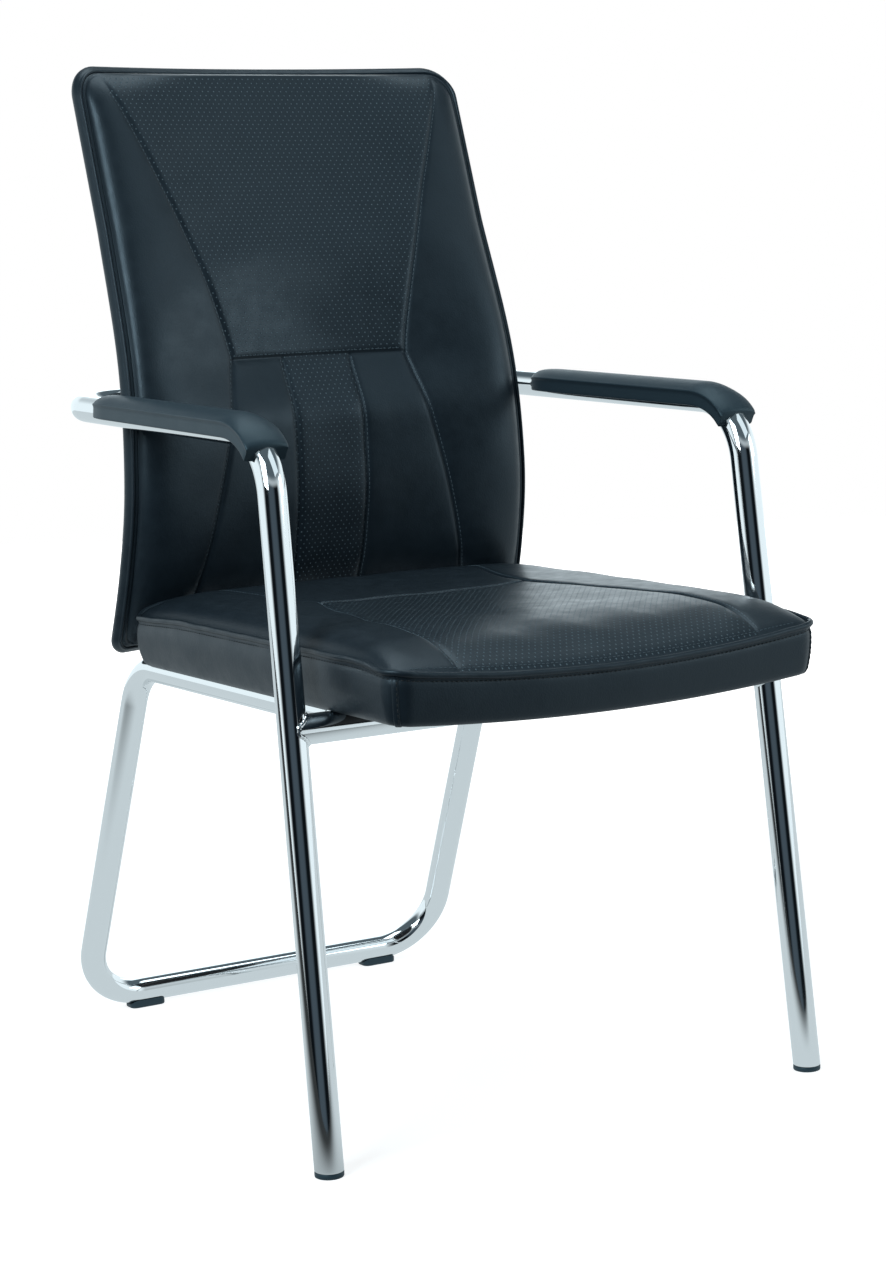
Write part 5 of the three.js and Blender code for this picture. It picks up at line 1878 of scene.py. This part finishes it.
    def on_outline(
        self, x: Array, height: Array, inset: float, low_corner: float
    ) -> tuple[Array, Array]:
        """Rounds the corners of a layer of the back.

        Args:
            x: Places across the back.
            height: Heights.
            inset: How far the layer's edge lies inside that of the back.
            low_corner: Radius of its lower corners.

        Returns:
            The places and heights on the rounded outline.
        """
        half = self.half_width(height) - inset
        half_height = (self.top - self.bottom) / 2 - inset
        radius = np.where(height > self.middle, self.top_corner - inset / 2, low_corner)
        round_x, round_z = rounded_corner(x, height - self.middle, half, half_height, radius)
        return round_x, round_z + self.middle

    def build_pad(self) -> None:
        """The sewn front pad and its stitching."""
        rows = self.pad_rows()
        x = np.array([self.pad_columns(h) for h in rows])
        height = np.repeat(rows[:, None], x.shape[1], 1)
        seam = np.array([self.side_seam(h) for h in rows])[:, None] * np.ones_like(x)
        round_x, round_z = self.on_outline(x, height, self.pad_inset, self.bottom_corner + 4.0)
        puff = self.puff(x, height, seam)
        half = self.half_width(height) - self.pad_inset
        inner = smooth_step((half - np.abs(x)) / 50.0) * smooth_step((self.top - height) / 60.0)
        points = np.stack([round_x, self.rim(round_z) - self.edge_lift - puff, round_z], 2)
        soft = noise_field(points.reshape(-1, 3), 75.0, 8).reshape(puff.shape)
        points[:, :, 1] += 0.8 * soft * inner
        upper = (np.abs(x) < seam + EDGE_SLACK) & (height > self.waist_height - EDGE_SLACK)
        strip = np.abs(x) < self.strip_spread / 2 + EDGE_SLACK
        strip = strip & (height < self.waist_height + EDGE_SLACK)
        holed = perforated_faces(upper, strip)
        draft = MeshDraft()
        edge, rim = draft.add_sheet(points, np.stack([x, height], 2), holed)
        ways = self.outline_ways(rim)
        rings = []
        seat = self.face(rim[:, 0], rim[:, 2]) + 1.0
        depth = np.maximum(self.edge_lift + 1.0, seat - rim[:, 1])
        for share in self.pad_edge_shares:
            ring = rim + ways * (self.side_bulge * math.sin(math.pi * share) + 0.8 * share)
            ring[:, 1] = rim[:, 1] + depth * share
            rings.append(ring)
        under = rim - ways * 14.0
        under[:, 1] += depth
        rings.append(under)
        draft.add_skirt(edge, np.array(rings))
        finishes = [self.leather, self.perforated]
        piece = draft.build("back_upholstery", self.drawing, finishes, PANEL_DEGREES)
        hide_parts("back_pad", "back_board")
        self.build_stitching(points, x, rows, seam)

    def outline_ways(self, rim: Array) -> Array:
        """Directions out of the back at the points of its edge, level with its face."""
        return ways_out(rim, (0.0, -1.0, 0.0), (0.0, 0.0, self.middle))

    def build_stitching(self, points: Array, x: Array, rows: Array, seam: Array) -> None:
        """The stitches beside the seams of the front pad.

        Args:
            points: Points of the pad's front by row and column.
            x: Places across the pad before rounding.
            rows: Height of each row.
            seam: Half the spread of the side seams.
        """
        stitching = Stitching()
        front = np.array([0.0, -1.0, 0.0])

        def sew(numbers: list[int], places: Array) -> None:
            """Sews through the pad's front at a place across each of some rows."""
            line = [read_off(places[r], x[r], points[r]) for r in numbers]
            stitching.run(evenly(np.array(line), 2.0), front)

        inside = [r for r, h in enumerate(rows) if self.bottom + 16 < h < self.top - 14]
        below = [r for r in inside if rows[r] < self.waist_height - 1]
        for sign in (-1, 1):
            sew(inside, sign * (seam[:, 0] + self.stitch_offset))
            sew(below, sign * (np.full(len(rows), self.strip_spread / 2) + self.stitch_offset))
        over = int(np.argmin(np.abs(rows - (self.waist_height + 2.5))))
        spread = self.side_seam(rows[over]) - 2
        line = read_off(np.linspace(-spread, spread, 40), x[over], points[over])
        stitching.run(evenly(line, 2.0), front)
        piece = stitching.build("back_stitching", self.drawing, self.thread)

    def rear(self, x: Array, height: Array) -> Array:
        """The rear face of the shell.

        Args:
            x: Places across the back.
            height: Heights.

        Returns:
            Setbacks.
        """
        from_side = self.half_width(height) - np.abs(x)
        from_end = (self.top - self.bottom) / 2 - np.abs(height - self.middle)
        crown = rise(from_side, self.edge_round) * rise(from_end, self.edge_round)
        return self.face(x, height) + self.rim_thickness + self.rear_crown * crown

    def build_shell(self) -> None:
        """The padded rear of the back with its raised, rounded rim."""
        low, high, reach = self.bottom, self.top, self.top_corner
        corner = np.array(self.shell_corner_shares)
        level = np.linspace(low + 22.0, high - reach, 60)
        rows = np.concatenate([low + corner * 22.0, level, high - corner[::-1] * reach])
        columns = []
        for half in self.half_width(rows):
            columns.append(mirrored([*(half - corner * reach), *np.linspace(half - reach, 0, 26)]))
        x = np.array(columns)
        height = np.repeat(rows[:, None], x.shape[1], 1)
        round_x, round_z = self.on_outline(x, height, 0.0, self.bottom_corner)
        behind = self.rear(round_x, round_z)
        landing = self.rear(np.full_like(x, self.strap_from_centre + self.strap_width / 2), round_z)
        off_strap = np.abs(np.abs(round_x) - self.strap_from_centre) - self.strap_width / 2
        pressed = 1 - smooth_step((off_strap - 1.0) / 9.0)
        on_strap = np.maximum(
            smooth_step((470.0 - round_z) / 14.0),
            smooth_step((round_z - 582.0) / 14.0) * smooth_step((654.0 - round_z) / 14.0),
        )
        sunk = np.minimum(behind, landing - 0.2)
        behind = blend(behind, sunk, pressed * on_strap)
        from_end = np.minimum(height - low, high - height)
        seam_in = np.minimum(self.half_width(height) - np.abs(x), from_end)
        behind = behind - 1.6 * groove(seam_in - 24.0, 2.2)
        draft = MeshDraft()
        edge, rim = draft.add_sheet(np.stack([round_x, behind, round_z], 2))
        ways = self.outline_ways(rim)
        front = self.face(rim[:, 0], rim[:, 2])
        rings = []
        for share in self.rim_shares:
            ring = rim + ways * (self.rim_round * math.sin(math.pi * share))
            ring[:, 1] = blend(rim[:, 1], front, share)
            rings.append(ring)
        for out, proud in self.rim_bead:
            ring = rim + ways * out
            ring[:, 1] = self.face(ring[:, 0], ring[:, 2]) - proud
            rings.append(ring)
        draft.add_skirt(edge, np.array(rings))
        piece = draft.build("back_shell", self.drawing, [self.leather], SOFT_DEGREES)
        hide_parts("back_rear")


@dataclass
class Fittings:
    """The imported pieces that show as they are: board, cover, tabs, straps and bolts.

    Args:
        nodes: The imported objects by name.
    """

    nodes: dict[str, Object]

    def dress(self, words: str | tuple[str, ...], finish: Material) -> None:
        """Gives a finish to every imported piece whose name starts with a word.

        Args:
            words: Starts of the names.
            finish: The material.
        """
        for name, node in self.nodes.items():
            if name.startswith(words):
                node.data.materials.clear()
                node.data.materials.append(finish)
                LOG.info("dressed %s", name)


@dataclass
class Studio:
    """A pale floor, soft lamps, the surroundings and the camera of the photograph.

    Args:
        drawing: Turns millimetres into metres.
    """

    drawing: Drawing
    camera_place: tuple[float, float, float] = (-1342.89, -2004.47, 761.90)
    yaw: float = -0.545992
    pitch: float = 0.137756
    roll: float = -0.0323265
    lens_pixels: float = 2846.18
    long_side_pixels: int = 1280
    sensor_mm: float = 36.0
    floor_half_mm: float = 5000.0
    floor_front_mm: float = 900.0
    floor_glow: float = 1.7
    floor_sheen: float = 0.86
    sheen_turn_degrees: float = 19.0
    floor_glow_share: float = 0.48
    room_pale: str = "#e4f1f6"
    room_ceiling: str = "#4e5b62"
    room_dark: str = "#0b1014"
    room_glow: str = "#3f4b54"
    dark_turn_degrees: float = -3.0
    dark_half_degrees: float = 59.0
    lamp_colour: str = "#e3f2f8"
    dark_top: float = 0.40
    backdrop_top: float = 0.44
    speck_mm: float = 100.0 / 3
    floor_colours: tuple[str, str] = ("#e4e6e7", "#eceeee")
    sheen_depths: tuple[float, float] = (-0.75, -0.15)
    sheen_near: float = 0.05
    far_depths: tuple[float, float] = (0.9, 2.4)
    dark_edge: float = 0.16
    dark_top_edge: float = 0.08
    glow_facing: float = 0.925
    glow_edge: float = 0.065
    backdrop_edge: float = 0.14
    room_light: float = 0.55
    room_shine: float = 1.25

    def build(self) -> None:
        """Sets up the camera, the floor, the world and the lamps."""
        self.build_camera()
        self.build_floor()
        self.build_world()
        self.build_lamps()

    def build_camera(self) -> None:
        """The camera at the photograph's place, with its lens."""
        level = math.cos(self.pitch)
        forward = np.array(
            [-math.sin(self.yaw) * level, math.cos(self.yaw) * level, -math.sin(self.pitch)]
        )
        right = unit(np.cross(forward, (0.0, 0.0, 1.0)))
        up = np.cross(right, forward)
        turned_right = math.cos(self.roll) * right + math.sin(self.roll) * up
        turned_up = -math.sin(self.roll) * right + math.cos(self.roll) * up
        lens = bpy.data.cameras.new("camera")
        lens.sensor_width = self.sensor_mm
        lens.lens = self.lens_pixels / self.long_side_pixels * self.sensor_mm
        camera = bpy.data.objects.new("camera", lens)
        bpy.context.scene.collection.objects.link(camera)
        turn = Matrix([turned_right, turned_up, -forward]).transposed().to_4x4()
        place = self.drawing.metres(np.array([self.camera_place]))[0]
        camera.matrix_world = Matrix.Translation(Vector(place)) @ turn
        bpy.context.scene.camera = camera

    def build_floor(self) -> None:
        """A plain pale floor that ends in front of the chair, beyond the picture's edge.

        It shows white to the camera and keeps a soft shadow.
        """
        material, tree, place = new_material("painted_board")
        path = add_node(tree, "LightPath")
        speck = add_node(tree, "TexNoise", {"Scale": 1000 / self.speck_mm})
        low, high = (linear(colour) for colour in self.floor_colours)
        shade = add_node(tree, "Mix", {"Factor": speck, 6: low, 7: high}, data_type="RGBA")
        matt = add_node(tree, "BsdfDiffuse", {"Color": (shade, 2)})
        across = np.array([math.cos(self.yaw), math.sin(self.yaw)])
        away = np.array([-math.sin(self.yaw), math.cos(self.yaw)])
        turn = self.yaw - math.radians(self.sheen_turn_degrees)
        way = {0: place, 1: (-math.sin(turn), math.cos(turn), 0.0)}
        depth = (add_node(tree, "VectorMath", way, operation="DOT_PRODUCT"), "Value")
        ramps = []
        for (near, far), start, stop in (
            (self.sheen_depths, self.sheen_near, self.floor_sheen),
            (self.far_depths, self.floor_glow_share, 1.0),
        ):
            span = {"From Min": near, "From Max": far, "To Min": start, "To Max": stop}
            inputs = {"Value": depth, **span}
            ramps.append(add_node(tree, "MapRange", inputs, interpolation_type="SMOOTHSTEP"))
        sheen, far_share = ramps
        levels = {"Factor": path, 2: sheen, 3: self.floor_glow}
        strength = add_node(tree, "Mix", levels, data_type="FLOAT")
        colours = {"Factor": path, 6: linear(self.room_pale), 7: WHITE}
        colour = add_node(tree, "Mix", colours, data_type="RGBA")
        glow = add_node(tree, "Emission", {"Color": (colour, 2), "Strength": strength})
        share = add_node(tree, "MapRange", {"Value": path, "To Min": 1.0, "To Max": far_share})
        both = add_node(tree, "MixShader", {0: share, 1: matt, 2: glow})
        add_node(tree, "OutputMaterial", {"Surface": both})
        half, near, far = self.floor_half_mm, -self.floor_front_mm, self.floor_half_mm
        corners = np.array([(-half, near), (half, near), (half, far), (-half, far)])
        flat = (corners[:, :1] * across + corners[:, 1:] * away) * METRES_PER_MM
        mesh = bpy.data.meshes.new("floor")
        mesh.from_pydata([(x, y, 0.0) for x, y in flat.tolist()], [], [(0, 1, 2, 3)])
        mesh.materials.append(material)
        floor = bpy.data.objects.new("floor", mesh)
        bpy.context.scene.collection.objects.link(floor)

    def build_world(self) -> None:
        """White behind the chair, with the darker side of the room where the camera stands."""
        world = bpy.data.worlds.new("studio")
        bpy.context.scene.world = world
        world.use_nodes = True
        tree = world.node_tree
        tree.nodes.clear()
        path = add_node(tree, "LightPath")
        place = (add_node(tree, "TexCoord"), "Generated")
        turn = self.yaw + math.radians(self.dark_turn_degrees)
        level = add_node(tree, "VectorMath", {0: place, 1: (1.0, 1.0, 0.0)}, operation="MULTIPLY")
        level = add_node(tree, "VectorMath", {0: level}, operation="NORMALIZE")
        way = {0: level, 1: (math.sin(turn), -math.cos(turn), 0.0)}
        facing = (add_node(tree, "VectorMath", way, operation="DOT_PRODUCT"), "Value")
        height = (add_node(tree, "SeparateXYZ", {"Vector": place}), "Z")
        edge = math.cos(math.radians(self.dark_half_degrees))
        ramps = []
        for source, middle, half, start, stop in (
            (facing, edge, self.dark_edge, 0.0, 1.0),
            (height, self.dark_top, self.dark_top_edge, 1.0, 0.0),
            (facing, self.glow_facing, self.glow_edge, 0.0, 1.0),
            (height, self.backdrop_top, self.backdrop_edge, 0.0, 1.0),
        ):
            span = {"From Min": middle - half, "From Max": middle + half}
            inputs = {"Value": source, **span, "To Min": start, "To Max": stop}
            ramps.append(add_node(tree, "MapRange", inputs, interpolation_type="SMOOTHSTEP"))
        sector, low, middle, above = ramps
        dark = add_node(tree, "Math", {0: sector, 1: low}, operation="MULTIPLY")
        colours = {"Factor": middle, 6: linear(self.room_dark), 7: linear(self.room_glow)}
        behind = add_node(tree, "Mix", colours, data_type="RGBA")
        colours = {"Factor": above, 6: linear(self.room_pale), 7: linear(self.room_ceiling)}
        backdrop = add_node(tree, "Mix", colours, data_type="RGBA")
        colours = {"Factor": (dark, "Value"), 6: (backdrop, 2), 7: (behind, 2)}
        room = (add_node(tree, "Mix", colours, data_type="RGBA"), 2)
        lit = add_node(tree, "Background", {"Color": room, "Strength": self.room_light})
        shiny = add_node(tree, "Background", {"Color": room, "Strength": self.room_shine})
        white = add_node(tree, "Background", {"Color": WHITE, "Strength": 1.0})
        gloss = add_node(tree, "MixShader", {0: (path, "Is Glossy Ray"), 1: lit, 2: shiny})
        shown = add_node(tree, "MixShader", {0: path, 1: gloss, 2: white})
        add_node(tree, "OutputWorld", {"Surface": shown})

    def build_lamps(self) -> None:
        """Soft boxes: a high key, top and fill, a panel at the front right, a rim at the rear."""
        lamps = (
            ("key", (1.3, -2.1, 3.3), (0.0, 0.0, 0.6), (2.4, 2.0), 15.0),
            ("top", (0.5, 0.5, 3.2), (0.0, 0.0, 0.5), (2.0, 1.6), 32.0),
            ("fill", (-2.3, -1.0, 1.9), (0.0, 0.0, 0.6), (1.2, 1.6), 66.0),
            ("panel", (1.8, -1.55, 1.25), (0.1, 0.1, 0.6), (1.0, 0.9), 8.0),
            ("rim", (1.25, 2.3, 1.2), (0.05, 0.1, 0.44), (1.5, 1.2), 6.5),
        )
        for name, place, aim, size, watts in lamps:
            light = bpy.data.lights.new(name, "AREA")
            light.shape = "RECTANGLE"
            light.size, light.size_y = size
            light.energy = watts
            light.color = linear(self.lamp_colour)[:3]
            lamp = bpy.data.objects.new(name, light)
            bpy.context.scene.collection.objects.link(lamp)
            lamp.visible_camera = False
            lamp.location = place
            way = Vector(aim) - Vector(place)
            lamp.rotation_mode = "QUATERNION"
            lamp.rotation_quaternion = way.to_track_quat("-Z", "Y")


def main() -> None:
    """Builds the chair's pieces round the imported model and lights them."""
    logging.basicConfig(level=logging.INFO, format="%(message)s")
    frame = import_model()
    low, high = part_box("sled_glide_left")
    drawing = Drawing(TubeFrame.sled[1] - (low.y + high.y) / 2 / METRES_PER_MM)
    Studio(drawing).build()
    chrome = ChromedSteel().material()
    plastic = MouldedPolyurethane().material()
    leather = BondedLeather().material()
    perforated = BondedLeather("bonded_leather_perforated", surface=Surface.PERFORATED).material()
    thread = PolyesterThread().material()
    # Painted shade: a darker copy of the grey thread, for the border's stitches that sit in shade.
    shaded_thread = PolyesterThread(name="polyester_thread_painted_shade", colour="#12181c").material()
    tubes = TubeFrame(drawing, chrome, plastic)
    tubes.build()
    ArmPads(tubes, plastic).build()
    SeatCushion(drawing, leather, perforated, thread, shaded_thread).build()
    BackRest(drawing, leather, perforated, thread).build()
    fittings = Fittings(frame["nodes"])
    fittings.dress(("back_strap", "seat_tab"), PowderCoat().material())
    fittings.dress(("seat_bolt", "back_bolt"), ZincPlate().material())
    fittings.dress("seat_board", BeechPlywood().material())
    fittings.dress("seat_cover", SpunbondPolypropylene().material())
    bpy.context.scene.view_settings.view_transform = "Standard"


if __name__ == "__main__":
    main()
